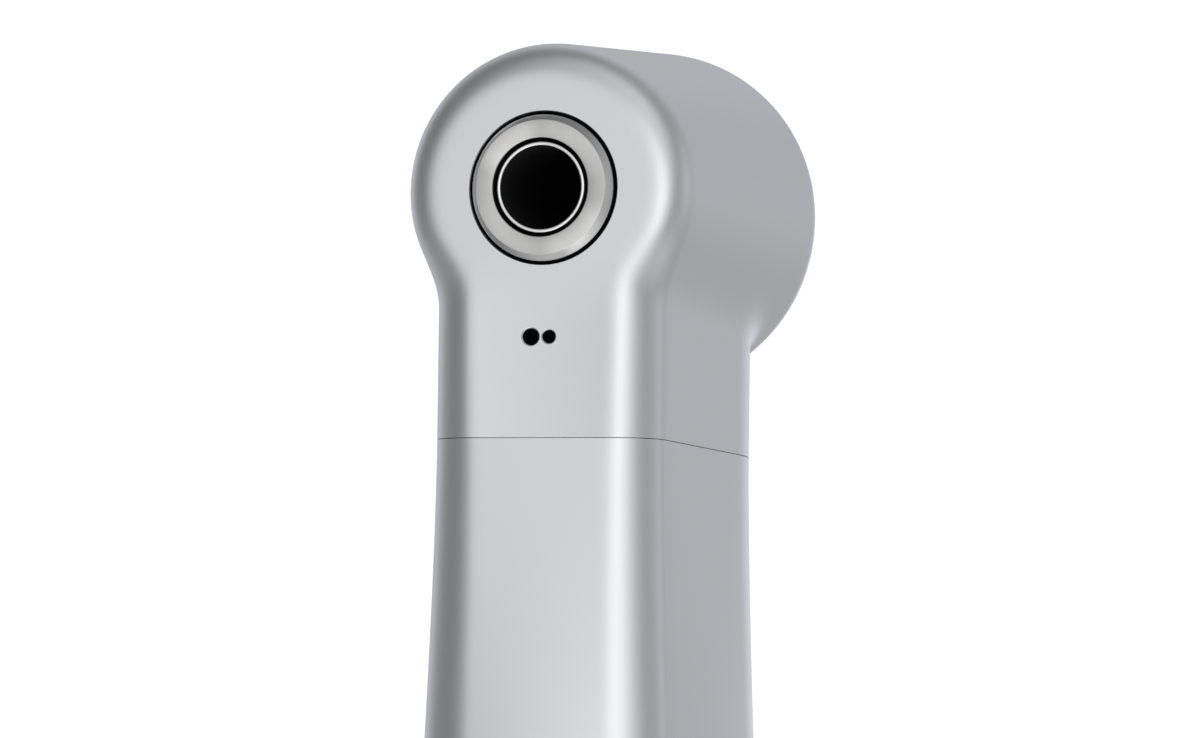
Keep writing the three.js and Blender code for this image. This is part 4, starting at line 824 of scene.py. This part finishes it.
def rearSleeve():
    foot, top = sleeveLow.z, sleeveHigh.z

    def radiusAt(height):
        share = (height - foot) / (top - foot)
        return sleeveHigh.x - (sleeveHigh.x - sleeve["topRadius"]) * (1 - (1 - share) ** 2)

    bore = spigotRadius + seatGap
    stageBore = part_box("ring_gear")[1].x / mm + seatGap
    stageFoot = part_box("ring_gear")[0].z / mm - seatGap
    corners = [(bore, foot), (radiusAt(foot), foot, sleeve["edge"])]
    for i in range(sleeve["grooves"]):
        low = foot + (2 * i + 2) * sleeve["grooveWidth"]
        high = low + sleeve["grooveWidth"]
        depth, edge = sleeve["grooveDepth"], sleeve["edge"]
        corners += [(radiusAt(low), low, edge), (radiusAt(low) - depth, low + depth, edge),
                    (radiusAt(high) - depth, high - depth, edge), (radiusAt(high), high, edge)]
    smoothStart = foot + (2 * sleeve["grooves"] + 2) * sleeve["grooveWidth"]
    for k in range(sleeve["steps"]):
        height = smoothStart + (top - smoothStart) * k / sleeve["steps"]
        corners.append((radiusAt(height), height))
    corners += [(radiusAt(top), top, sleeve["edge"]),
                (stageBore, top), (stageBore, stageFoot), (bore, stageFoot)]
    made = lathe("sleeve_shell", corners, segments=128, steps=4, sharpAngle=25)
    return dress(made, "contra_angle", "satin_silver", turnedSleeve, "rear_sleeve")


def collarRing():
    bore = spigotRadius
    foot, top = collarLow.z, collarHigh.z
    wide, narrow = collarHigh.x, sleeveHigh.x
    corners = [(bore, foot), (wide, foot, collar["footEdge"])]
    for k in range(1, collar["steps"]):
        share = k / collar["steps"]
        bulge = collar["bulge"] * math.sin(math.pi * share)
        corners.append((wide + (narrow - wide) * share + bulge, foot + (top - foot) * share))
    corners += [(narrow, top, collar["topEdge"]), (bore, top)]
    made = lathe("collar_shell", corners, segments=128, steps=4, sharpAngle=25)
    return dress(made, "handle", "satin_silver", turnedSleeve, "collar_ring")


rearSleeve()
collarRing()
print("sleeve and collar made")


# Handle: two casing halves, end cap and battery cover

def boxOf(name):
    low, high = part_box(name)
    return low / mm, high / mm


casing = dict(
    wall=1.8, frontCorner=6.5, backCorner=9.5, footTaper=0.7, taperHeight=22, gap=0.1, shoulderEdge=0.6,
    circleShare=0.96, arcSteps=16, sideGap=0.1, windowCorner=2, windowLedge=1.2,
    coverRoom=0.2, coverCorner=3, holeLip=0.25, topWall=4.2, taperSteps=8, shoulderSteps=14, plateSteps=12,
    shoulderRest=1,  # the shoulder's curve would end this far above the casing
)
frontLow, frontHigh = boxOf("display_casing")
backLow, backHigh = boxOf("back_casing")
boardLow, boardHigh = boxOf("circuit_board")
capLow, capHigh = boxOf("end_cap")
capHeight = frontLow.z - casing["gap"]
shoulderFoot = boardHigh.z + casing["shoulderEdge"]
collarWide = collarHigh.x


def handleRing(height, inset):
    # the handle's outline at a height: narrower at the foot, and a circle at the top
    foot = min(max(1 - (height - capHeight) / casing["taperHeight"], 0), 1)
    shoulder = eased(height, shoulderFoot, frontHigh.z + casing["shoulderRest"])
    narrow = casing["footTaper"] * foot * foot + inset
    circle = (collarWide - inset) * casing["circleShare"]

    def between(first, second):
        return first + (second - first) * shoulder

    halfWidth = between(frontHigh.x - narrow, collarWide - inset)
    back = between(backLow.y + narrow, inset - collarWide)
    front = between(frontHigh.y - narrow, collarWide - inset)
    corner = between(casing["frontCorner"] - inset, circle)
    backCorner = between(casing["backCorner"] - inset, circle)
    outline = rounded([(-halfWidth, back, backCorner), (halfWidth, back, backCorner),
                       (halfWidth, front, corner), (-halfWidth, front, corner)], casing["arcSteps"])
    return [(x, y, height) for x, y in outline]


def handleBlock(low, high, inset):
    heights = [low]
    taper, shoulder = casing["taperSteps"], casing["shoulderSteps"]
    stops = [capHeight + casing["taperHeight"] * k / taper for k in range(taper + 1)]
    stops += [shoulderFoot + (frontHigh.z - shoulderFoot) * k / shoulder for k in range(shoulder)]
    heights += [stop for stop in stops if low + seatGap < stop < high - seatGap] + [high]
    return loft("block", [handleRing(height, inset) for height in heights])


def halfBox(way):
    size = 4 * frontHigh.x
    near = way * casing["gap"] / 2
    far = way * size
    low, high = sorted((near, far))
    corners = [(-size, low), (size, low), (size, high), (-size, high)]
    return slab("half", corners, -size, 2 * frontHigh.z)


def frontPlate(halfWidth, low, high, corner, back, front, lipStart=None):
    # a plate in the XZ plane from y = back to y = front, which widens from y = lipStart
    levels = [(front, 0), (back, 0)]
    if lipStart is not None:
        levels = [(front, front - lipStart), (lipStart, 0), (back, 0)]
    rings = []
    for level, wider in levels:
        radius = corner + wider if corner else 0
        outline = rectangle(halfWidth + wider, low - wider, high + wider, radius)
        rings.append([(x, y, -level) for x, y in rounded(outline, casing["plateSteps"])])
    return loft("plate", rings, standing)


def frontPlace(x, height):
    return upright @ Matrix.Translation((x, 0, height)) @ Matrix.Rotation(-math.pi / 2, 4, "X")


def keyHole(name):
    low, high = boxOf(name)
    middle = (low + high) / 2
    radius, lip = keys[name]["radius"] + casing["sideGap"], casing["holeLip"]
    outside = frontHigh.y
    return lathe("hole", [
        (0, boardHigh.y), (radius, boardHigh.y), (radius, outside - lip),
        (radius + lip + overrun, outside + overrun), (0, outside + overrun)], frontPlace(middle.x, middle.z))


keys = {
    "start_button": dict(radius=5.0, body="start_key", dish=0.35, mark="power"),
    "set_key": dict(radius=2.4, body="set_key_body", dish=0.2, mark="dot"),
    "minus_key": dict(radius=2.4, body="minus_key_body", dish=0.2, mark="minus"),
    "plus_key": dict(radius=2.4, body="plus_key_body", dish=0.2, mark="plus"),
}
keyShape = dict(stem=1.2, flange=0.8, edge=0.25, dishShare=0.8, dishSteps=10, markSink=0.9)
windowLow, windowHigh = boxOf("display_window")
moduleLow, moduleHigh = boxOf("display_module")
screwLow, screwHigh = boxOf("cover_screw")
screwHeight = (screwLow.z + screwHigh.z) / 2
coverLow, coverHigh = boxOf("battery_cover")
cavityTop = frontHigh.z - casing["topWall"]


def handleShell(way):
    # the front half (way 1) or the back half (way -1) of the hollow handle
    shell = handleBlock(frontLow.z, frontHigh.z, 0)
    hollow = handleBlock(capHeight - overrun, cavityTop, casing["wall"])
    hole = lathe("hole", disk(spigotRadius, cavityTop - overrun, frontHigh.z + overrun))
    carve(shell, "DIFFERENCE", hollow, hole)
    carve(shell, "INTERSECT", halfBox(way))
    return shell


def displayCasing():
    shell = handleShell(1)
    shell.name = "front_shell"
    ledge, outside = casing["windowLedge"], frontHigh.y
    tools = [
        frontPlate(windowHigh.x + seatGap, windowLow.z - seatGap, windowHigh.z + seatGap,
                   casing["windowCorner"], windowLow.y - seatGap, outside + overrun,
                   outside - casing["holeLip"]),
        frontPlate(windowHigh.x - ledge, windowLow.z + ledge, windowHigh.z - ledge, casing["windowCorner"],
                   boardHigh.y, outside),
        *(keyHole(name) for name in keys),
    ]
    carve(shell, "DIFFERENCE", *tools)
    return dress(shell, "handle", "white_plastic", whitePlastic, "display_casing")


def coverBlock(margin):
    halfWidth = boxOf("battery_cell")[1].x + casing["coverRoom"] + margin
    return frontPlate(halfWidth, coverLow.z - margin, coverHigh.z + margin, casing["coverCorner"],
                      backLow.y - overrun, backLow.y + 2 * casing["wall"])


# the wall across the casing that the cover's screw goes into
partition = dict(depth=3.4, height=6.0, room=0.1)
cover = dict(gripCount=5, gripPitch=1.9, gripFoot=4, gripHalf=5.5, gripTaper=0.4, gripDepth=0.35,
             gripWidth=0.9, gripRound=0.95)
screw = dict(headRadius=1.9, headDepth=1.2, headEdge=0.2, headGap=0.1, shank=0.95, shankGap=0.1,
             thread=1.0, tip=0.3, slotHalf=0.25, slotReach=1.3, slotDepth=0.6)


def screwHole(radius, low, high, segments=32):
    return lathe("hole", disk(radius, low, high), frontPlace(0, screwHeight), segments)


def backCasing():
    shell = handleShell(-1)
    shell.name = "back_shell"
    carve(shell, "DIFFERENCE", coverBlock(casing["gap"]))
    back = backLow.y + casing["wall"] + casing["gap"]
    half = partition["height"] / 2
    wall = frontPlate(frontHigh.x - casing["wall"] / 2, screwHeight - half, screwHeight + half, 0,
                      back, back + partition["depth"])
    carve(wall, "INTERSECT", handleBlock(capHeight, cavityTop, casing["wall"] / 2))
    carve(shell, "UNION", wall)
    carve(shell, "DIFFERENCE", screwHole(
        screw["thread"], back - overrun, back + partition["depth"] + overrun))
    return dress(shell, "handle", "white_plastic", whitePlastic, "back_casing")


def batteryCover():
    shell = handleShell(-1)
    shell.name = "cover_shell"
    carve(shell, "INTERSECT", coverBlock(0))
    outside = backLow.y
    back = outside + casing["wall"] + casing["gap"]
    room = partition["room"]
    reach = partition["height"] / 2 + room
    tools = [
        screwHole(screw["headRadius"] + screw["headGap"], outside - overrun, outside + screw["headDepth"],
                  segments=64),
        screwHole(screw["shank"] + screw["shankGap"], outside - overrun, back + overrun),
        frontPlate(2 * frontHigh.x, screwHeight - reach, screwHeight + reach, 0,
                   back - room, back + partition["depth"]),
    ]
    for i in range(cover["gripCount"]):
        height = coverLow.z + cover["gripFoot"] + i * cover["gripPitch"]
        length = cover["gripHalf"] - cover["gripTaper"] * abs(i - cover["gripCount"] // 2)
        half = cover["gripWidth"] / 2
        tools.append(frontPlate(length, height - half, height + half, half * cover["gripRound"],
                                outside - overrun, outside + cover["gripDepth"]))
    carve(shell, "DIFFERENCE", *tools)
    return dress(shell, "handle", "grey_plastic", greyPlastic, "battery_cover")


def coverScrew():
    low, high = screwLow.y, screwHigh.y
    seat = backLow.y + screw["headDepth"] - seatGap
    made = lathe("cover_screw_head", [
        (0, low), (screw["headRadius"], low, screw["headEdge"]), (screw["headRadius"], seat),
        (screw["shank"], seat), (screw["shank"], high, screw["tip"]), (0, high)],
        frontPlace(0, screwHeight), segments=64)
    half, reach = screw["slotHalf"], screw["slotReach"]
    for halfWidth, halfHeight in ((reach, half), (half, reach)):
        slot = frontPlate(halfWidth, screwHeight - halfHeight, screwHeight + halfHeight, 0,
                          low - overrun, low + screw["slotDepth"])
        carve(made, "DIFFERENCE", slot)
    return dress(made, "handle", "steel", groundSteel, "cover_screw")


cap = dict(round=1.6, roundSteps=10, wall=2.0, padRadius=1.5, padEdge=0.15, padSeat=0.05,
           padDish=0.12, padDishShare=(0.5, 0.6), padDishEdge=0.1)


def endCap():
    rings = []
    for k in range(cap["roundSteps"] + 1):
        turn = math.pi / 2 * k / cap["roundSteps"]
        rings.append(handleRing(cap["round"] * (1 - math.cos(turn)), cap["round"] * (1 - math.sin(turn))))
    rings.append(handleRing(capHeight, 0))
    outside = loft("cap_shell", rings)
    inset = casing["wall"] + casing["gap"]
    carve(outside, "UNION", handleBlock(capHeight - overrun, capHigh.z, inset))
    carve(outside, "DIFFERENCE", handleBlock(cap["wall"], capHigh.z + overrun, inset + cap["wall"]))
    for name in ("charging_contact_left", "charging_contact_right"):
        low, high = boxOf(name)
        spot = frontPlace((low.x + high.x) / 2, (low.z + high.z) / 2)
        radius, seat, edge = cap["padRadius"], cap["padSeat"], cap["padDishEdge"]
        floorOfDish = low.y + cap["padDish"]
        inner, outer = (radius * share for share in cap["padDishShare"])
        hole = lathe("seat", disk(radius + seat, low.y - overrun, high.y + seat), spot, segments=48)
        carve(outside, "DIFFERENCE", hole)
        pad = lathe(name.replace("contact", "pad"), [
            (0, floorOfDish), (inner, floorOfDish, edge), (outer, low.y, edge),
            (radius, low.y, cap["padEdge"]), (radius, high.y), (0, high.y)], spot, segments=64)
        dress(pad, "handle", "brass", goldPlate, name)
    return dress(outside, "handle", "grey_plastic", greyPlastic, "end_cap")


displayCasing()
backCasing()
batteryCover()
coverScrew()
endCap()
print("handle made")


# Keys with their marks, and the display behind its window

mark = dict(
    width=0.45, reach=1.05, height=0.06, sunk=0.1, corner=0.1, edge=0.04, dot=(0.62, 0.98),
    # the power mark: its ring, the gap in it and the stroke in the gap
    ring=(1.75, 2.2), gapRise=2, gapHalf=(0.75, 1.2),
    strokeRise=1.75, strokeHalf=(0.22, 1.15), strokeCorner=0.2,
)


def bar(name, x, z, halfWidth, halfHeight, low, high, corner=0):
    place = standing @ Matrix.Translation((x, z, 0))
    return slab(name, rectangle(halfWidth, -halfHeight, halfHeight, corner), -high, -low, place, steps=4)


def keyMark(kind, name, x, z, surface):
    low, high = surface - mark["sunk"], surface + mark["height"]
    half, reach, corner = mark["width"] / 2, mark["reach"], mark["corner"]
    if kind == "dot":
        made = lathe(name, tube(*mark["dot"], low, high, mark["edge"]), frontPlace(x, z),
                     segments=64, steps=3)
    elif kind == "power":
        made = lathe(name, tube(*mark["ring"], low, high, mark["edge"]), frontPlace(x, z), steps=3)
        carve(made, "DIFFERENCE", bar("gap", x, z + mark["gapRise"], *mark["gapHalf"],
                                      low - overrun, high + overrun))
        carve(made, "UNION", bar("stroke", x, z + mark["strokeRise"], *mark["strokeHalf"], low, high,
                                 mark["strokeCorner"]))
    else:
        made = bar(name, x, z, reach, half, low, high, corner)
        if kind == "plus":
            carve(made, "UNION", bar("upright", x, z, half, reach, low, high, corner))
    return made


def key(name):
    look = keys[name]
    low, high = boxOf(name)
    middle = (low + high) / 2
    radius, top = look["radius"], high.y
    flangeFront = frontHigh.y - casing["wall"] - seatGap
    flangeBack = flangeFront - keyShape["flange"]
    stem, flange = keyShape["stem"], high.x - middle.x
    dish = dished(radius * keyShape["dishShare"], top, look["dish"], keyShape["dishSteps"])
    made = lathe(name + "_cap", [
        (0, low.y), (stem, low.y), (stem, flangeBack), (flange, flangeBack), (flange, flangeFront),
        (radius, flangeFront), (radius, top, keyShape["edge"]), *dish], frontPlace(middle.x, middle.z))
    dress(made, look["body"], "grey_plastic", greyPlastic, name)
    surface = top - look["dish"] * keyShape["markSink"]
    symbol = keyMark(look["mark"], name + "_mark", middle.x, middle.z, surface)
    dress(symbol, look["body"], "white_plastic", paleMark)


for name in keys:
    key(name)


def displayWindow():
    glass = frontPlate(windowHigh.x, windowLow.z, windowHigh.z, casing["windowCorner"],
                       windowLow.y, windowHigh.y)
    glass.name = "window_glass"
    return dress(glass, "handle", "dark_window", darkWindow, "display_window")


digit = dict(height=6.2, width=3.4, stroke=0.62, gap=0.08, scale=0.62, space=2.2, corner=0.3)
# which of a digit's seven strokes are lit, in the order of the spots below
strokes = {"0": "1110111", "2": "1011101", "3": "1011011", "5": "1101011"}
# where each stroke is, in half widths and half heights from the digit's middle, and whether it lies
spots = [(0, 1, True), (1, 0.5, False), (-1, 0.5, False), (0, 0, True),
         (1, -0.5, False), (-1, -0.5, False), (0, -1, True)]
screen = dict(
    lift=0.02, thick=0.06,  # the lit parts stand on the display module
    speed="350", speedRise=6.2, torque="20", torqueRise=-3.4, ruleRise=1.4, ruleHalf=(4.6, 0.07),
    levels=9, levelStart=4.2, levelPitch=1.05, levelRise=-9.6,
    levelHalf=0.36, levelLow=0.35, levelGrowth=0.16,
    cellSpot=(-2.9, 11.4), cellHalf=(1.3, 0.62), cellCorner=0.2, tipSpot=(-4.35, 11.4), tipHalf=(0.13, 0.28),
)
screenBack = moduleHigh.y + screen["lift"]
screenMiddle = (windowLow.z + windowHigh.z) / 2


def litBar(x, rise, halfWidth, halfHeight, corner=0):
    front = screenBack + screen["thick"]
    return bar("lit", x, screenMiddle + rise, halfWidth, halfHeight, screenBack, front, corner)


def digitStrokes(text, rise):
    sizes = ("width", "height", "stroke", "gap")
    width, height, stroke, gap = (digit[size] * digit["scale"] for size in sizes)
    pitch = width + digit["space"] * stroke
    start = (len(text) - 1) * pitch / 2
    made = []
    for i, sign in enumerate(text):
        middle = start - i * pitch
        for isLit, (across, up, isLying) in zip(strokes[sign], spots):
            if isLit == "0":
                continue
            long = (width if isLying else height / 2) / 2 - stroke / 2 - gap
            halfWidth, halfHeight = (long, stroke / 2) if isLying else (stroke / 2, long)
            made.append(litBar(middle + across * width / 2, rise + up * height / 2,
                               halfWidth, halfHeight, stroke * digit["corner"]))
    return made


def joined(name, pieces, finish):
    # several lit parts as one piece
    work = bmesh.new()
    for piece in pieces:
        work.from_mesh(piece.data)
        bpy.data.meshes.remove(piece.data)
    mesh = bpy.data.meshes.new(name)
    work.to_mesh(mesh)
    work.free()
    whole = bpy.data.objects.new(name, mesh)
    bpy.context.scene.collection.objects.link(whole)
    return dress(smooth(whole), "handle", "white_plastic", finish)


def displayContent():
    joined("display_speed", digitStrokes(screen["speed"], screen["speedRise"]), litDigit)
    joined("display_torque", digitStrokes(screen["torque"], screen["torqueRise"]), dimDigit)
    joined("display_rule", [litBar(0, screen["ruleRise"], *screen["ruleHalf"])], dimDigit)
    levels = []
    for i in range(screen["levels"]):
        levels.append(litBar(screen["levelStart"] - screen["levelPitch"] * i, screen["levelRise"],
                             screen["levelHalf"], screen["levelLow"] + screen["levelGrowth"] * i))
    joined("display_level", levels, litDigit)
    cell = litBar(*screen["cellSpot"], *screen["cellHalf"], screen["cellCorner"])
    joined("display_cell", [cell, litBar(*screen["tipSpot"], *screen["tipHalf"])], dimDigit)


displayWindow()
displayContent()
print("keys and display made")


# Finishes of the pieces that are carried over as they are

carried = {
    groundSteel: ["motor_can", "coupling_spigot", "input_shaft", "ring_gear", "planet_carrier",
                  "drive_shaft", "drive_bend_gear", "neck_bend_gear", "neck_shaft", "neck_pinion",
                  "chuck_latch", "chuck_gear", "front_bearing_outer_race", "front_bearing_inner_race",
                  "rear_bearing_outer_race", "rear_bearing_inner_race"],
    springSteel: ["button_spring", "front_bearing_ball_cage", "rear_bearing_ball_cage"],
    brass: ["battery_contact_lower", "battery_contact_upper", "sun_gear", "planet_gear_1", "planet_gear_2",
            "planet_gear_3", "drive_shaft_bush", "neck_bush_lower", "neck_bush_upper"],
    copper: ["motor_rotor"],
    magnet: ["motor_magnet_ring"],
    blackPlastic: ["motor_end_bell", "start_switch"],
    displayDark: ["display_module"],
    greyPlastic: ["motor_bulkhead", "key_dome_sheet"],
    rubber: ["o_ring_lower", "o_ring_upper"],
    cellWrap: ["battery_cell"],
    solderMask: ["circuit_board"],
}
for finish, names in carried.items():
    for name in names:
        nodes[name].data.materials.clear()
        nodes[name].data.materials.append(finish)
print("carried nodes painted:", sum(len(names) for names in carried.values()))


# Floor, light and camera

studio = dict(
    floorRadius=9.0, floorSides=24, floorColor=0.82, floorRoughness=0.9, floorGlow=0.72,
    glow=0.16, frontTint=(0.99, 0.993, 1.0, 1), backTint=(0.955, 0.975, 1.02, 1),
    # each soft light: degrees right of the front, degrees up, half width in degrees, strength
    lights=(
        (7, 19, 10, 1.16), (20, 19, 9, 0.58), (34, 17, 10, 0.36), (-8, 19, 10, 0.16), (-22, 19, 10.5, 0.655),
        (0, 52, 20, 0.33), (45, 45, 24, 0.47),
        (-14, 12, 14, 0.05), (0, -15, 18, 0.89), (60, -20, 24, 0.13), (0, -75, 40, 1.13),
    ),
    backLights=(
        (82, 5, 16, 0.09), (110, 2, 18, 0.34), (140, -6, 20, 0.15), (175, -12, 22, 0.22), (-125, 0, 26, 0.42),
        (110, 40, 28, 0.08), (180, 35, 30, 0.38), (177, -17, 8, 0.56), (150, -12, 10, 0.03),
    ),
)


def floor():
    radius, sides = studio["floorRadius"], studio["floorSides"]
    points = [(0, 0, 0)]
    faces = []
    for i in range(sides):
        angle = 2 * math.pi * i / sides
        points.append((radius * math.cos(angle), radius * math.sin(angle), 0))
        faces.append((0, 1 + i, 1 + (i + 1) % sides))
    mesh = bpy.data.meshes.new("floor")
    mesh.from_pydata(points, [], faces)
    ground = bpy.data.objects.new("floor", mesh)
    bpy.context.scene.collection.objects.link(ground)
    tone = studio["floorColor"]
    material = bpy.data.materials.new("pale floor")
    material.use_nodes = True
    shader = material.node_tree.nodes["Principled BSDF"]
    shader.inputs["Base Color"].default_value = (tone, tone, tone, 1)
    shader.inputs["Roughness"].default_value = studio["floorRoughness"]
    shader.inputs["Emission Color"].default_value = (1, 1, 1, 1)
    shader.inputs["Emission Strength"].default_value = studio["floorGlow"]
    mesh.materials.append(material)
    ground.visible_glossy = False


def aimed(azimuth, elevation):
    # the direction from the object towards a light or the camera
    a, e = math.radians(azimuth), math.radians(elevation)
    return Vector((math.sin(a) * math.cos(e), -math.cos(a) * math.cos(e), math.sin(e)))


def studioLight():
    world = bpy.data.worlds.new("studio")
    bpy.context.scene.world = world
    world.use_nodes = True
    world.node_tree.nodes.clear()
    sky = Nodes(world.node_tree)
    direction = sky.add("TexCoord")

    def glowOf(lights, glow):
        for azimuth, elevation, halfWidth, strength in lights:
            sharpness = math.log(2) / (1 - math.cos(math.radians(halfWidth)))
            facing = sky.add("VectorMath", {"operation": "DOT_PRODUCT"},
                             {0: direction, 1: aimed(azimuth, elevation)}, output=1)
            glow = ((facing - 1.0) * sharpness).exponential() * strength + glow
        return glow

    front = sky.add("Background", {}, {
        "Color": studio["frontTint"], "Strength": glowOf(studio["lights"], 0.0)})
    back = sky.add("Background", {}, {
        "Color": studio["backTint"], "Strength": glowOf(studio["backLights"], studio["glow"])})
    light = sky.add("AddShader", {}, {0: front, 1: back})
    white = sky.add("Background", {}, {"Color": (1, 1, 1, 1), "Strength": 1.0})
    isSeen = sky.add("LightPath")
    seen = sky.add("MixShader", {}, {0: isSeen, 1: light, 2: white})
    output = world.node_tree.nodes.new("ShaderNodeOutputWorld")
    plug(world.node_tree, seen, output.inputs["Surface"])


shot = dict(
    azimuth=16.7, elevation=-3.39, roll=0.72,  # degrees, about the head's own frame
    focalPixels=5675, distance=161.1, imageWidth=1180, imageHeight=738,
    chuckPixel=(542.96, 187.75), sensor=36, clip=(0.01, 50),
)


def camera():
    back = aimed(shot["azimuth"], shot["elevation"])
    right = (-back).cross(Vector((0, 0, 1))).normalized()
    up = right.cross(-back)
    roll = math.radians(shot["roll"])
    turnedRight = right * math.cos(roll) + up * math.sin(roll)
    turnedUp = up * math.cos(roll) - right * math.sin(roll)
    scale = shot["distance"] / shot["focalPixels"]
    across = (shot["chuckPixel"][0] - shot["imageWidth"] / 2) * scale
    down = (shot["chuckPixel"][1] - shot["imageHeight"] / 2) * scale
    spot = back * shot["distance"] - turnedRight * across + turnedUp * down
    data = bpy.data.cameras.new("camera")
    data.sensor_width = shot["sensor"]
    data.lens = shot["focalPixels"] * shot["sensor"] / shot["imageWidth"]
    data.clip_start, data.clip_end = shot["clip"]
    eye = bpy.data.objects.new("camera", data)
    bpy.context.scene.collection.objects.link(eye)
    axes = Matrix((turnedRight, turnedUp, back)).transposed().to_4x4()
    eye.matrix_world = headPlace @ Matrix.Scale(1 / mm, 4) @ Matrix.Translation(spot * mm) @ axes
    bpy.context.scene.camera = eye


floor()
studioLight()
camera()
bpy.context.scene.view_settings.view_transform = "Standard"
bpy.context.scene.view_settings.look = "None"
print("floor, light and camera made")
